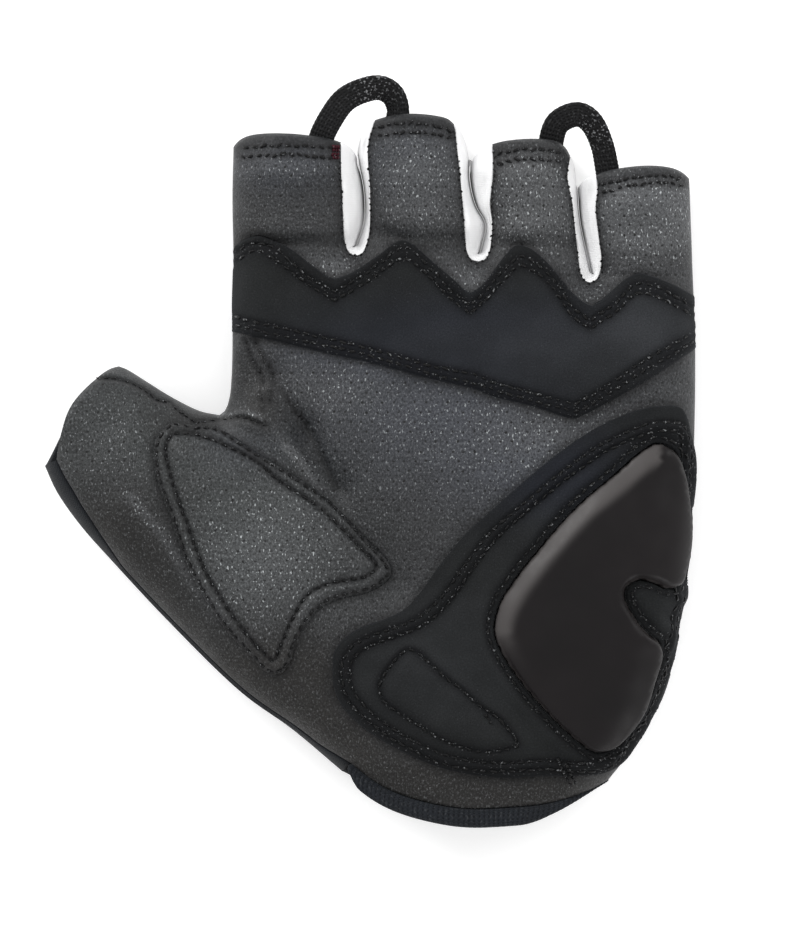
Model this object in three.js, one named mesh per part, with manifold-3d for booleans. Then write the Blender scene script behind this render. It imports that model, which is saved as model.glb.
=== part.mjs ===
// Fingerless cycling glove for a left hand, palm side up, lying on its back.
// Millimetres: +X towards the little finger, +Y towards the fingertips, +Z up.

import * as THREE from "three";
import { mergeVertices } from "three/addons/utils/BufferGeometryUtils.js";
import Module from "manifold-3d";

const wasm = await Module();
wasm.setup();

// Overall sizes
const PALM_WIDTH = 101.6;
const PALM_LENGTH = 125;
const FINGER_LENGTH = 30.8;
const THUMB_REACH = 41.4;
const FINGER_DEPTH = 18;
const PALM_DEPTH = 20;
const SEAM_HEIGHT = 9;
const SIDE_ROUND = 10.5;

// Walls and clearances
const LEATHER_WALL = 1.6;
const HEM_EXTRA = 0.6;
const FABRIC_WALL = 1.2;
const FOURCHETTE_WALL = 1;
const SEAM_GAP = 0.3;
const SEAT_GAP = 0.3;
const SLOT_BOTTOM = 3.3;
const MEETING_GAP = 0.35;
const FOURCHETTE_DIP = 2.2;
const WRAP_WIDTH = 4;

// Shares of the form
const PALM_START = 0.7;
const WRAP_FOLD = 0.4;
const STRIP_MIDDLE = 0.45;
const WRIST_BLEND = 4;
const MOUTH_BLEND = 3;
const EDGE_STEP = 0.01;

// Patches sewn on the palm
const BAND_THICKNESS = 1;
const HEEL_THICKNESS = 1;
const OVAL_PAD_RISE = 1.1;
const THUMB_PATCH_THICKNESS = 1.3;
const GEL_THICKNESS = 3.2;
const GEL_BEVEL = 2.6;
const GEL_STEPS = 3;

// Loops and binding
const WEBBING_WIDTH = 5.5;
const WEBBING_THICKNESS = 1.3;
const BINDING_WIDTH = 4.2;
const BINDING_THICKNESS = 2.6;
const BINDING_PROUD = 0.5;
const BINDING_FLAT = 0.8;
const BINDING_LEAN = 0.45;

// Mesh steps
const COLUMN_SHARES = [0, 0.09, 0.27, 0.5, 0.73, 0.91, 1];
const SLOT_STEPS = 4;
const UPPER_ROWS = 6;
const LOWER_ROWS = 10;
const THUMB_COLUMNS = 8;
const LINE_SAMPLES = 32;
const GEL_POINTS = 32;
const HEEL_POINTS = 36;
const OVAL_POINTS = 24;
const THUMB_PATCH_POINTS = 34;
const EXTENSION = 30;
const BLOCK_FLOOR = -20;

// Outlines. Columns: share across, share along.
// Across runs -0.5 to 0.5 over the palm and -0.5 to -1.5 over the thumb.
// Along runs 0 to 1 from the wrist to the crotches and 1 to 2 over the fingers.
const INDEX_SIDE = [
  [-0.5, 1.779],
  [-0.505, 1.357],
  [-0.5, 0.988],
  [-0.498, 0.921],
  [-0.5, 0.84],
  [-0.516, 0.748],
  [-0.532, 0.72],
];
const THUMB_TOP = [
  [-0.532, 0.72],
  [-0.665, 0.727],
  [-0.814, 0.75],
  [-0.952, 0.778],
  [-1.106, 0.808],
];
const THUMB_MOUTH = [
  [-1.106, 0.808],
  [-1.223, 0.78],
  [-1.351, 0.734],
  [-1.431, 0.68],
  [-1.5, 0.629],
];
const THUMB_LOWER = [
  [-1.5, 0.629],
  [-1.436, 0.583],
  [-1.309, 0.523],
  [-1.138, 0.46],
  [-0.835, 0.354],
  [-0.478, 0.227],
  [-0.37, 0.164],
  [-0.262, 0.09],
];
const LITTLE_SIDE = [
  [0.491, 1.564],
  [0.498, 0.988],
  [0.504, 0.833],
  [0.5, 0.629],
  [0.491, 0.523],
  [0.474, 0.375],
  [0.45, 0.29],
  [0.416, 0.206],
  [0.364, 0.125],
  [0.318, 0.077],
];
const WRIST_LINE = [
  [-0.262, 0.09],
  [-0.201, 0.063],
  [-0.136, 0.046],
  [-0.011, 0.03],
  [0.089, 0.032],
  [0.188, 0.04],
  [0.266, 0.058],
  [0.318, 0.077],
];
const THUMB_BASE = [
  [-0.532, 0.72],
  [-0.435, 0.604],
  [-0.364, 0.489],
  [-0.31, 0.375],
  [-0.275, 0.261],
  [-0.262, 0.173],
  [-0.262, 0.09],
];

// Slots between the fingers: the line where the finger sides meet, and the distances
// from it to the leather edges, as shares of SLOT_BOTTOM
const SLOTS = [
  {
    name: "fourchette_index_middle",
    meeting: [[-0.232, 1.1], [-0.214, 1.357], [-0.225, 1.75]],
    left: 1.3, right: 0.47,
    leftTip: [-0.266, 1.779], rightTip: [-0.19, 1.95],
  },
  {
    name: "fourchette_middle_ring",
    meeting: [[0.039, 1.071], [0.026, 1.357], [0.013, 1.75]],
    left: 0.8, right: 1.13,
    leftTip: [-0.019, 1.929], rightTip: [0.063, 1.786],
  },
  {
    name: "fourchette_ring_little",
    meeting: [[0.275, 0.99], [0.255, 1.214], [0.247, 1.55]],
    left: 0.57, right: 1.07,
    leftTip: [0.232, 1.707], rightTip: [0.288, 1.564],
  },
];
const INDEX_CORNER = [-0.5, 1.757];
const LITTLE_CORNER = [0.491, 1.55];
const CROTCH_ROW_ENDS = [[-0.5, 0.988], [0.498, 0.965]];

// Arch of each hem over its own corners, as shares of FINGER_LENGTH
const HEM_ARCH = [0.07, 0.06, 0.075, 0.08];

// Share of WRAP_WIDTH by which the back fabric folds over the thumb edge.
// Columns: share from the wrist to the thumb mouth, share of the width.
const WRAP_TABLE = [
  [0, 0.75],
  [0.08, 0.4],
  [0.2, 0.3],
  [0.7, 0.3],
  [0.82, 0.75],
  [0.92, 0.95],
  [1, 0.85],
];

// Soft mounds. Columns: share across, share along, half length across and along
// as shares of the palm, height as a share of PALM_DEPTH.
const MOUNDS = [
  [0.3, 0.42, 0.3, 0.36, 0.16],
  [-0.72, 0.52, 0.32, 0.26, 0.12],
  [-0.1, 0.2, 0.2, 0.16, 0.05],
  [-0.38, 1.55, 0.13, 0.1, 0.05],
  [-0.1, 1.6, 0.12, 0.12, 0.05],
  [0.15, 1.5, 0.11, 0.1, 0.05],
  [0.39, 1.3, 0.11, 0.09, 0.05],
];

// Folds. Columns: start across, start along, end across, end along,
// half width as a share of PALM_WIDTH, depth as a share of PALM_DEPTH.
const FOLDS = [
  [-0.41, 0.785, -0.34, 0.69, 0.03, 0.11],
  [-0.34, 0.69, -0.275, 0.59, 0.034, 0.15],
  [-0.275, 0.59, -0.15, 0.42, 0.07, 0.12],
  [-0.455, 0.84, -0.44, 0.74, 0.02, 0.06],
  [-0.49, 1.07, -0.28, 1.05, 0.022, 0.07],
  [-0.19, 1.12, -0.01, 1.1, 0.022, 0.07],
  [0.07, 1.06, 0.24, 1.03, 0.022, 0.07],
  [0.29, 0.96, 0.49, 0.96, 0.022, 0.05],
];

// Patch outlines
const KNUCKLE_BAND = [
  [-0.5, 1.05], [-0.452, 1.114], [-0.361, 0.996], [-0.277, 0.954],
  [-0.212, 0.981], [-0.132, 1.093], [-0.05, 0.97], [0.017, 0.93],
  [0.063, 0.965], [0.115, 1.057], [0.167, 0.998], [0.223, 0.938],
  [0.277, 0.908], [0.377, 0.961], [0.435, 0.945], [0.5, 0.922],
  [0.5, 0.832], [0.383, 0.773], [0.273, 0.724], [0.238, 0.711],
  [0.188, 0.72], [-0.091, 0.785], [-0.284, 0.824], [-0.498, 0.863],
];
const HEEL_PATCH = [
  [0.474, 0.725], [0.405, 0.729], [0.294, 0.697], [0.139, 0.606],
  [0.004, 0.505], [-0.093, 0.4], [-0.249, 0.329], [-0.279, 0.261],
  [-0.245, 0.194], [-0.13, 0.13], [0.019, 0.088], [0.177, 0.085],
  [0.29, 0.1], [0.372, 0.164], [0.43, 0.25], [0.468, 0.38],
  [0.487, 0.52], [0.491, 0.64],
];
const GEL_PAD = [
  [0.405, 0.662], [0.452, 0.646], [0.469, 0.56], [0.466, 0.481],
  [0.445, 0.417], [0.383, 0.426], [0.346, 0.403], [0.41, 0.32],
  [0.4, 0.255], [0.35, 0.167], [0.292, 0.132], [0.249, 0.144],
  [0.123, 0.252], [0.065, 0.345], [0.108, 0.43], [0.249, 0.563],
];
const OVAL_PAD = [
  [-0.136, 0.301], [-0.18, 0.241], [-0.145, 0.202], [-0.037, 0.148],
  [0.08, 0.132], [0.117, 0.144], [0.069, 0.195], [-0.037, 0.254],
];
const THUMB_PATCH = [
  [-0.856, 0.692], [-0.67, 0.692], [-0.461, 0.657], [-0.312, 0.576],
  [-0.19, 0.481], [-0.162, 0.442], [-0.208, 0.412], [-0.316, 0.38],
  [-0.355, 0.338], [-0.392, 0.273], [-0.435, 0.283], [-0.511, 0.345],
  [-0.734, 0.472], [-0.856, 0.577],
];

// Pull loops. Columns: share across, share along, height over the seam and twist,
// the height as a share of WEBBING_WIDTH and the twist in degrees.
const LOOPS = [
  {
    name: "pull_loop_index_middle",
    path: [
      [-0.314, 1.643, 0.88, 0], [-0.31, 1.821, 0.9, 0], [-0.288, 1.979, 0.95, 0],
      [-0.25, 2.143, 1, 5], [-0.197, 2.23, 1.05, 12], [-0.148, 2.186, 0.95, 25],
      [-0.134, 2.06, 0.8, 32], [-0.141, 1.93, 0.68, 25], [-0.144, 1.78, 0.62, 15],
    ],
  },
  {
    name: "pull_loop_ring_little",
    path: [
      [0.182, 1.62, 0.52, 0], [0.187, 1.807, 0.55, 4], [0.204, 1.965, 0.72, 10],
      [0.242, 2.035, 0.88, 15], [0.283, 1.98, 0.8, 25], [0.309, 1.8, 0.58, 30],
      [0.32, 1.62, 0.45, 25], [0.328, 1.45, 0.4, 15],
    ],
  },
];
const LOOP_STEPS = 20;

// Plain colours of the materials
const LEATHER = { color: 0x3f4144, roughness: 0.62, metalness: 0 };
const SUEDE = { color: 0x25272b, roughness: 0.95, metalness: 0 };
const FABRIC = { color: 0x1f242a, roughness: 0.9, metalness: 0 };
const WHITE_FABRIC = { color: 0xe9eaea, roughness: 0.85, metalness: 0 };
const GEL = { color: 0x262123, roughness: 0.45, metalness: 0 };
const WEBBING = { color: 0x1b1b1c, roughness: 0.85, metalness: 0 };

function place([across, along]) {
  const beyond = Math.min(across + 0.5, 0);
  const x = (across - beyond) * PALM_WIDTH + beyond * THUMB_REACH;
  const y = Math.min(along, 1) * PALM_LENGTH + Math.max(along - 1, 0) * FINGER_LENGTH;
  return new THREE.Vector2(x, y);
}

function flatCurve(points, closed) {
  const corners = points.map((point) => new THREE.Vector3(point.x, point.y, 0));
  return new THREE.CatmullRomCurve3(corners, closed, "centripetal");
}

function sampleLine(points, count = LINE_SAMPLES) {
  const samples = flatCurve(points, false).getSpacedPoints(count);
  return samples.map((point) => new THREE.Vector2(point.x, point.y));
}

function extendLine(line) {
  const head = line[0].clone().sub(line[1]).setLength(EXTENSION).add(line[0]);
  const last = line[line.length - 1];
  const tail = last.clone().sub(line[line.length - 2]).setLength(EXTENSION).add(last);
  return [head, ...line, tail];
}

function pointAlong(line, share) {
  const lengths = [0];
  for (let i = 1; i < line.length; i += 1) {
    lengths.push(lengths[i - 1] + line[i].distanceTo(line[i - 1]));
  }
  const target = share * lengths[lengths.length - 1];
  let step = 1;
  while (step < line.length - 1 && lengths[step] < target) {
    step += 1;
  }
  const span = lengths[step] - lengths[step - 1];
  return line[step - 1].clone().lerp(line[step], (target - lengths[step - 1]) / span);
}

function acrossAt(line, y) {
  for (let i = 1; i < line.length; i += 1) {
    const low = line[i - 1];
    const high = line[i];
    if ((low.y - y) * (high.y - y) <= 0 && low.y !== high.y) {
      return low.x + ((high.x - low.x) * (y - low.y)) / (high.y - low.y);
    }
  }
  throw new Error("height outside the line");
}

function distanceToSegment(point, start, end) {
  const span = end.clone().sub(start);
  const share = point.clone().sub(start).dot(span) / span.lengthSq();
  return point.distanceTo(start.clone().lerp(end, THREE.MathUtils.clamp(share, 0, 1)));
}

function lookUp(table, share) {
  for (let i = 1; i < table.length; i += 1) {
    if (share <= table[i][0]) {
      const part = (share - table[i - 1][0]) / (table[i][0] - table[i - 1][0]);
      return THREE.MathUtils.lerp(table[i - 1][1], table[i][1], part);
    }
  }
  return table[table.length - 1][1];
}

// Side lines of the glove, where the palm side and the back side meet
const indexSide = sampleLine(INDEX_SIDE.map(place));
const thumbTop = sampleLine(THUMB_TOP.map(place));
const thumbMouth = sampleLine(THUMB_MOUTH.map(place));
const thumbLower = sampleLine(THUMB_LOWER.map(place));
const littleSide = sampleLine(LITTLE_SIDE.map(place));
const wristLine = sampleLine(WRIST_LINE.map(place));
const thumbBase = sampleLine(THUMB_BASE.map(place));
const slots = SLOTS.map((slot) => {
  const line = sampleLine(slot.meeting.map(place));
  return {
    ...slot,
    bottom: line[0],
    line: [...line, extendLine(line).at(-1)],
    low: extendLine(line),
  };
});
const sideLines = [
  extendLine([...indexSide, ...thumbTop.slice(1)]),
  extendLine(thumbLower),
  extendLine(littleSide),
  ...slots.map((slot) => slot.line),
];

function distanceToSide(point) {
  let nearest = Infinity;
  for (const line of sideLines) {
    for (let i = 1; i < line.length; i += 1) {
      nearest = Math.min(nearest, distanceToSegment(point, line[i - 1], line[i]));
    }
  }
  return nearest;
}

// Quarter round from the seam up to the full depth
function sideShare(point) {
  const inside = Math.min(distanceToSide(point), SIDE_ROUND) / SIDE_ROUND;
  return Math.sqrt(1 - (1 - inside) ** 2);
}

function palmHeight(point) {
  const toPalm = THREE.MathUtils.smoothstep(-point.y, -PALM_LENGTH, -PALM_START * PALM_LENGTH);
  let height = THREE.MathUtils.lerp(FINGER_DEPTH, PALM_DEPTH, toPalm) - SEAM_HEIGHT;
  for (const [across, along, halfAcross, halfAlong, rise] of MOUNDS) {
    const centre = place([across, along]);
    const x = (point.x - centre.x) / (halfAcross * PALM_WIDTH);
    const y = (point.y - centre.y) / (halfAlong * PALM_LENGTH);
    const reach = Math.min(Math.hypot(x, y), 1);
    height += rise * PALM_DEPTH * 0.5 * (1 + Math.cos(Math.PI * reach));
  }
  for (const [startAcross, startAlong, endAcross, endAlong, width, depth] of FOLDS) {
    const start = place([startAcross, startAlong]);
    const end = place([endAcross, endAlong]);
    const reach = distanceToSegment(point, start, end) / (width * PALM_WIDTH);
    height -= depth * PALM_DEPTH * Math.exp(-reach * reach);
  }
  return SEAM_HEIGHT + 0.5 * SEAM_GAP + height * sideShare(point);
}

function backHeight(point) {
  return (SEAM_HEIGHT - 0.5 * SEAM_GAP) * (1 - sideShare(point));
}

// A point beside a slot. Step 0 is the crotch, then the round bottom, then the side
// up to the hem. Reach 1 is the leather edge and reach 0 the meeting line.
function slotPoint(slot, side, step, reachOf) {
  const width = SLOT_BOTTOM * (side < 0 ? slot.left : slot.right);
  const { bottom } = slot;
  if (step <= 2) {
    const turn = (step * Math.PI) / 4;
    const reach = reachOf(step === 0 ? SLOT_BOTTOM : width);
    const x = bottom.x + side * width * reach * Math.sin(turn);
    return new THREE.Vector2(x, bottom.y - SLOT_BOTTOM * reach * Math.cos(turn));
  }
  const tip = place(side < 0 ? slot.leftTip : slot.rightTip);
  const share = (step - 2) / SLOT_STEPS;
  const y = THREE.MathUtils.lerp(bottom.y, tip.y, share);
  const meeting = acrossAt(slot.low, y);
  const edge = share < 1 ? meeting + side * width : tip.x;
  const reach = reachOf(Math.abs(edge - meeting));
  return new THREE.Vector2(THREE.MathUtils.lerp(meeting, edge, reach), y);
}

function slotEdge(slot, side) {
  const steps = [...Array(SLOT_STEPS + 3).keys()];
  return steps.map((step) => slotPoint(slot, side, step, () => 1));
}

// Outer edges of the index and little fingers, on the same rows as the slot beside them
function outerEdge(line, rootRow, cornerRow, beside) {
  const root = place(rootRow);
  const corner = place(cornerRow);
  const first = beside[0].y;
  const last = beside[beside.length - 1].y;
  return beside.map((point) => {
    const y = THREE.MathUtils.lerp(root.y, corner.y, (point.y - first) / (last - first));
    return new THREE.Vector2(acrossAt(line, y), y);
  });
}

const slotLefts = slots.map((slot) => slotEdge(slot, -1));
const slotRights = slots.map((slot) => slotEdge(slot, 1));
const fingerLefts = [
  outerEdge(extendLine(indexSide), CROTCH_ROW_ENDS[0], INDEX_CORNER, slotLefts[0]),
  ...slotRights,
];
const fingerRights = [
  ...slotLefts,
  outerEdge(extendLine(littleSide), CROTCH_ROW_ENDS[1], LITTLE_CORNER, slotRights[2]),
];

// Rows of plan points of one finger, from the crotches to the hem
function fingerRows(finger) {
  const lefts = fingerLefts[finger];
  const rights = fingerRights[finger];
  return lefts.map((left, row) => {
    const arch = HEM_ARCH[finger] * FINGER_LENGTH * (row / (lefts.length - 1)) ** 2;
    return COLUMN_SHARES.map((share) => {
      const point = left.clone().lerp(rights[row], share);
      point.y += 4 * arch * share * (1 - share);
      return point;
    });
  });
}
const fingers = HEM_ARCH.map((arch, finger) => fingerRows(finger));

// Patch of plan points between four edges
function fillRows(top, bottom, left, right) {
  const lastRow = left.length - 1;
  const lastColumn = top.length - 1;
  const width = top[lastColumn].x - top[0].x;
  return left.map((leftPoint, row) => {
    const down = row / lastRow;
    return top.map((topPoint, column) => {
      const over = (topPoint.x - top[0].x) / width;
      const point = new THREE.Vector2();
      point.addScaledVector(topPoint, 1 - down);
      point.addScaledVector(bottom[column], down);
      point.addScaledVector(leftPoint, 1 - over);
      point.addScaledVector(right[row], over);
      point.addScaledVector(top[0], -(1 - over) * (1 - down));
      point.addScaledVector(top[lastColumn], -over * (1 - down));
      point.addScaledVector(bottom[0], -(1 - over) * down);
      point.addScaledVector(bottom[lastColumn], -over * down);
      return point;
    });
  });
}

// The thumb edge moved inwards, from the wrist corner to the thumb mouth
function thumbEdge(reachOf) {
  return [...Array(THUMB_COLUMNS + 1).keys()].map((column) => {
    const share = column / THUMB_COLUMNS;
    const point = pointAlong(thumbLower, 1 - share);
    const ahead = pointAlong(thumbLower, Math.max(1 - share - EDGE_STEP, 0));
    const behind = pointAlong(thumbLower, Math.min(1 - share + EDGE_STEP, 1));
    const run = ahead.sub(behind).normalize();
    const inward = new THREE.Vector2(run.y, -run.x);
    return point.addScaledVector(inward, reachOf(lookUp(WRAP_TABLE, share) * WRAP_WIDTH));
  });
}

// Plan rows of the palm and thumb, with the thumb edge given
function handPlan(edge) {
  const top = fingers.flatMap((rows, finger) => rows[0].slice(finger === 0 ? 0 : 1));
  const width = top[top.length - 1].x - top[0].x;
  const wristStart = edge[0];
  const wristRow = top.map((point) => {
    const share = (point.x - top[0].x) / width;
    const whole = pointAlong(wristLine, share);
    return whole.addScaledVector(wristStart.clone().sub(wristLine[0]), (1 - share) ** WRIST_BLEND);
  });
  const index = indexSide.filter((point) => point.y < top[0].y);
  const upper = [top[0], ...index];
  const left = [];
  for (let row = 0; row < UPPER_ROWS; row += 1) {
    left.push(pointAlong(upper, row / UPPER_ROWS));
  }
  const lower = thumbBase.map((point, i) => {
    const share = i / (thumbBase.length - 1);
    return point.clone().addScaledVector(wristStart.clone().sub(wristLine[0]), share ** WRIST_BLEND);
  });
  for (let row = 0; row <= LOWER_ROWS; row += 1) {
    left.push(pointAlong(lower, row / LOWER_ROWS));
  }
  const little = littleSide.filter((point) => point.y < top[top.length - 1].y);
  const rightLine = [top[top.length - 1], ...little];
  const right = left.map((point, row) => pointAlong(rightLine, row / (left.length - 1)));
  const palm = fillRows(top, wristRow, left, right);
  const mouth = [...Array(LOWER_ROWS + 1).keys()].map((row) => {
    const share = row / LOWER_ROWS;
    const point = pointAlong(thumbMouth, share);
    const shift = edge[THUMB_COLUMNS].clone().sub(thumbMouth[thumbMouth.length - 1]);
    return point.addScaledVector(shift, share ** MOUTH_BLEND);
  });
  const base = left.slice(UPPER_ROWS);
  const upperEdge = edge.map((point, column) => pointAlong(thumbTop, column / THUMB_COLUMNS));
  const thumb = base.map((basePoint, row) => {
    const down = row / LOWER_ROWS;
    return edge.map((edgePoint, column) => {
      const out = column / THUMB_COLUMNS;
      const point = new THREE.Vector2();
      point.addScaledVector(upperEdge[column], 1 - down);
      point.addScaledVector(edgePoint, down);
      point.addScaledVector(basePoint, 1 - out);
      point.addScaledVector(mouth[row], out);
      point.addScaledVector(upperEdge[0], -(1 - out) * (1 - down));
      point.addScaledVector(upperEdge[THUMB_COLUMNS], -out * (1 - down));
      point.addScaledVector(edge[0], -(1 - out) * down);
      point.addScaledVector(edge[THUMB_COLUMNS], -out * down);
      return point;
    });
  });
  return { palm, thumb };
}

// An open skin: shared points and the triangles between them
function makeSkin() {
  return { points: [], faces: [], keys: new Map(), hems: new Set() };
}

function skinPoint(skin, point, height) {
  const key = `${point.x.toFixed(3)},${point.y.toFixed(3)}`;
  if (!skin.keys.has(key)) {
    skin.keys.set(key, skin.points.length);
    skin.points.push(new THREE.Vector3(point.x, point.y, height));
  }
  return skin.keys.get(key);
}

function addGrid(skin, rows, flip) {
  for (let row = 1; row < rows.length; row += 1) {
    for (let column = 1; column < rows[row].length; column += 1) {
      const a = rows[row - 1][column - 1];
      const b = rows[row - 1][column];
      const c = rows[row][column];
      const d = rows[row][column - 1];
      if (flip) {
        skin.faces.push([a, b, c], [a, c, d]);
      } else {
        skin.faces.push([a, c, b], [a, d, c]);
      }
    }
  }
}

function skinNormals(skin) {
  const normals = skin.points.map(() => new THREE.Vector3());
  for (const [a, b, c] of skin.faces) {
    const ab = skin.points[b].clone().sub(skin.points[a]);
    const ac = skin.points[c].clone().sub(skin.points[a]);
    const normal = ab.cross(ac);
    normals[a].add(normal);
    normals[b].add(normal);
    normals[c].add(normal);
  }
  return normals.map((normal) => normal.normalize());
}

// At the side seam the walls are cut level, so that both panels meet flush
function levelSeam(skin, normals) {
  return normals.map((normal, i) => {
    const atSeam = Math.abs(skin.points[i].z - SEAM_HEIGHT) < SEAM_GAP;
    return atSeam ? normal.clone().setZ(0).normalize() : normal;
  });
}

function rimEdges(faces) {
  const seen = new Set();
  const edges = faces.flatMap(([a, b, c]) => [[a, b], [b, c], [c, a]]);
  edges.forEach(([a, b]) => seen.add(`${a},${b}`));
  return edges.filter(([a, b]) => !seen.has(`${b},${a}`));
}

function closedGeometry(outer, inner, faces) {
  const positions = [...outer, ...inner].flatMap((point) => point.toArray());
  const count = outer.length;
  const indices = faces.flat();
  faces.forEach(([a, b, c]) => indices.push(a + count, c + count, b + count));
  for (const [a, b] of rimEdges(faces)) {
    indices.push(b, a, a + count, b, a + count, b + count);
  }
  const geometry = new THREE.BufferGeometry();
  geometry.setAttribute("position", new THREE.Float32BufferAttribute(positions, 3));
  geometry.setIndex(indices);
  geometry.computeVertexNormals();
  return geometry;
}

function thicken(skin, normals, wallOf) {
  const inner = skin.points.map((point, i) => {
    return point.clone().addScaledVector(normals[i], -wallOf(i));
  });
  return closedGeometry(skin.points, inner, skin.faces);
}

// A block whose top is the skin moved out by a distance, for seating patches
function seatBlock(skin, normals, distance) {
  const top = skin.points.map((point, i) => {
    return point.clone().addScaledVector(normals[i], distance);
  });
  const floor = top.map((point) => new THREE.Vector3(point.x, point.y, BLOCK_FLOOR));
  return toManifold(closedGeometry(top, floor, skin.faces));
}

function toManifold(geometry) {
  const bare = geometry.clone();
  bare.deleteAttribute("normal");
  bare.deleteAttribute("uv");
  const merged = mergeVertices(bare);
  const mesh = new wasm.Mesh({
    numProp: 3,
    vertProperties: new Float32Array(merged.attributes.position.array),
    triVerts: new Uint32Array(merged.index.array),
  });
  return new wasm.Manifold(mesh);
}

function fromManifold(solid) {
  const mesh = solid.getMesh();
  const geometry = new THREE.BufferGeometry();
  const positions = new THREE.BufferAttribute(new Float32Array(mesh.vertProperties), 3);
  geometry.setAttribute("position", positions);
  geometry.setIndex(new THREE.BufferAttribute(new Uint32Array(mesh.triVerts), 1));
  geometry.computeVertexNormals();
  return geometry;
}

function makeMesh(name, geometry, look) {
  const mesh = new THREE.Mesh(geometry, new THREE.MeshStandardMaterial(look));
  mesh.name = name;
  return mesh;
}

// Palm panel: leather over the palm, the finger fronts and the thumb front
const palmPlan = handPlan(thumbEdge((wrap) => wrap));
const palmSkin = makeSkin();
const palmIndex = (point) => skinPoint(palmSkin, point, palmHeight(point));
const indexRows = (rows, indexOf) => rows.map((row) => row.map(indexOf));
fingers.forEach((rows) => {
  const indices = indexRows(rows, palmIndex);
  addGrid(palmSkin, indices, true);
  indices.at(-1).forEach((i) => palmSkin.hems.add(i));
});
const palmRows = indexRows(palmPlan.palm, palmIndex);
const palmThumbRows = indexRows(palmPlan.thumb, palmIndex);
addGrid(palmSkin, palmRows, false);
addGrid(palmSkin, palmThumbRows, true);
palmThumbRows.forEach((row) => palmSkin.hems.add(row.at(-1)));
const palmNormals = levelSeam(palmSkin, skinNormals(palmSkin));
const palmPanel = thicken(palmSkin, palmNormals, (i) => {
  return LEATHER_WALL + (palmSkin.hems.has(i) ? HEM_EXTRA : 0);
});

// Back panel: plain stretch fabric, folded over the thumb edge onto the palm side
const backPlan = handPlan(thumbEdge(() => 0));
const backSkin = makeSkin();
const backIndex = (point) => skinPoint(backSkin, point, backHeight(point));
fingers.forEach((rows) => addGrid(backSkin, indexRows(rows, backIndex), false));
const backRows = indexRows(backPlan.palm, backIndex);
addGrid(backSkin, backRows, true);
const backThumbRows = indexRows(backPlan.thumb, backIndex);
const foldRow = (reachOf) => thumbEdge(reachOf).map((point) => {
  return skinPoint(backSkin, point, palmHeight(point));
});
backThumbRows.push(foldRow((wrap) => WRAP_FOLD * wrap));
backThumbRows.push(foldRow((wrap) => wrap - SEAM_GAP));
addGrid(backSkin, backThumbRows, false);
const backNormals = levelSeam(backSkin, skinNormals(backSkin));
backThumbRows.at(-1).forEach((i, column) => {
  backNormals[i] = palmNormals[palmThumbRows.at(-1)[column]];
});
const backPanel = thicken(backSkin, backNormals, () => FABRIC_WALL);

// Fourchette: the strip between two fingers, from the palm edge to the back edge
function fourchette(slot) {
  const skin = makeSkin();
  const stations = [];
  for (let step = SLOT_STEPS + 2; step >= 0; step -= 1) {
    stations.push([-1, step]);
  }
  for (let step = 1; step <= SLOT_STEPS + 2; step += 1) {
    stations.push([1, step]);
  }
  const levels = [
    [1, palmHeight, palmSkin, palmNormals],
    [STRIP_MIDDLE, palmHeight],
    [0, () => SEAM_HEIGHT],
    [STRIP_MIDDLE, backHeight],
    [1, backHeight, backSkin, backNormals],
  ];
  const edgeNormals = new Map();
  const rows = levels.map(([level, heightOf, beside, besideNormals]) => {
    return stations.map(([side, step]) => {
      const point = slotPoint(slot, side, step, (width) => {
        return (MEETING_GAP + level * (width - MEETING_GAP - SEAM_GAP)) / width;
      });
      const tip = step === SLOT_STEPS + 2 ? 1 : 0;
      point.y -= tip * FOURCHETTE_DIP * (1 - level);
      skin.points.push(new THREE.Vector3(point.x, point.y, heightOf(point)));
      const i = skin.points.length - 1;
      if (beside) {
        const edge = slotPoint(slot, side, step, () => 1);
        edgeNormals.set(i, besideNormals[skinPoint(beside, edge, heightOf(edge))]);
      }
      return i;
    });
  });
  addGrid(skin, rows, true);
  const normals = skinNormals(skin).map((normal, i) => edgeNormals.get(i) ?? normal);
  return thicken(skin, normals, () => FOURCHETTE_WALL);
}

// Sewn patches: an outline cut out of the layer between two seat blocks
function outlinePoints(table, count) {
  const samples = flatCurve(table.map(place), true).getSpacedPoints(count).slice(0, count);
  return samples.map((point) => new THREE.Vector2(point.x, point.y));
}

function offsetOutline(points, distance) {
  const turn = THREE.ShapeUtils.area(points) > 0 ? 1 : -1;
  return points.map((point, i) => {
    const before = points[(i + points.length - 1) % points.length];
    const after = points[(i + 1) % points.length];
    const run = after.clone().sub(before).normalize();
    return new THREE.Vector2(point.x + turn * run.y * distance, point.y - turn * run.x * distance);
  });
}

function prism(points) {
  const options = { depth: 3 * PALM_DEPTH, bevelEnabled: false };
  const geometry = new THREE.ExtrudeGeometry(new THREE.Shape(points), options);
  geometry.translate(0, 0, SEAM_HEIGHT + 0.5 * SEAM_GAP);
  return toManifold(geometry);
}

const seat = seatBlock(palmSkin, palmNormals, SEAT_GAP);

function layer(points, thickness) {
  const block = seatBlock(palmSkin, palmNormals, SEAT_GAP + thickness);
  return prism(points).intersect(block);
}

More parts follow.
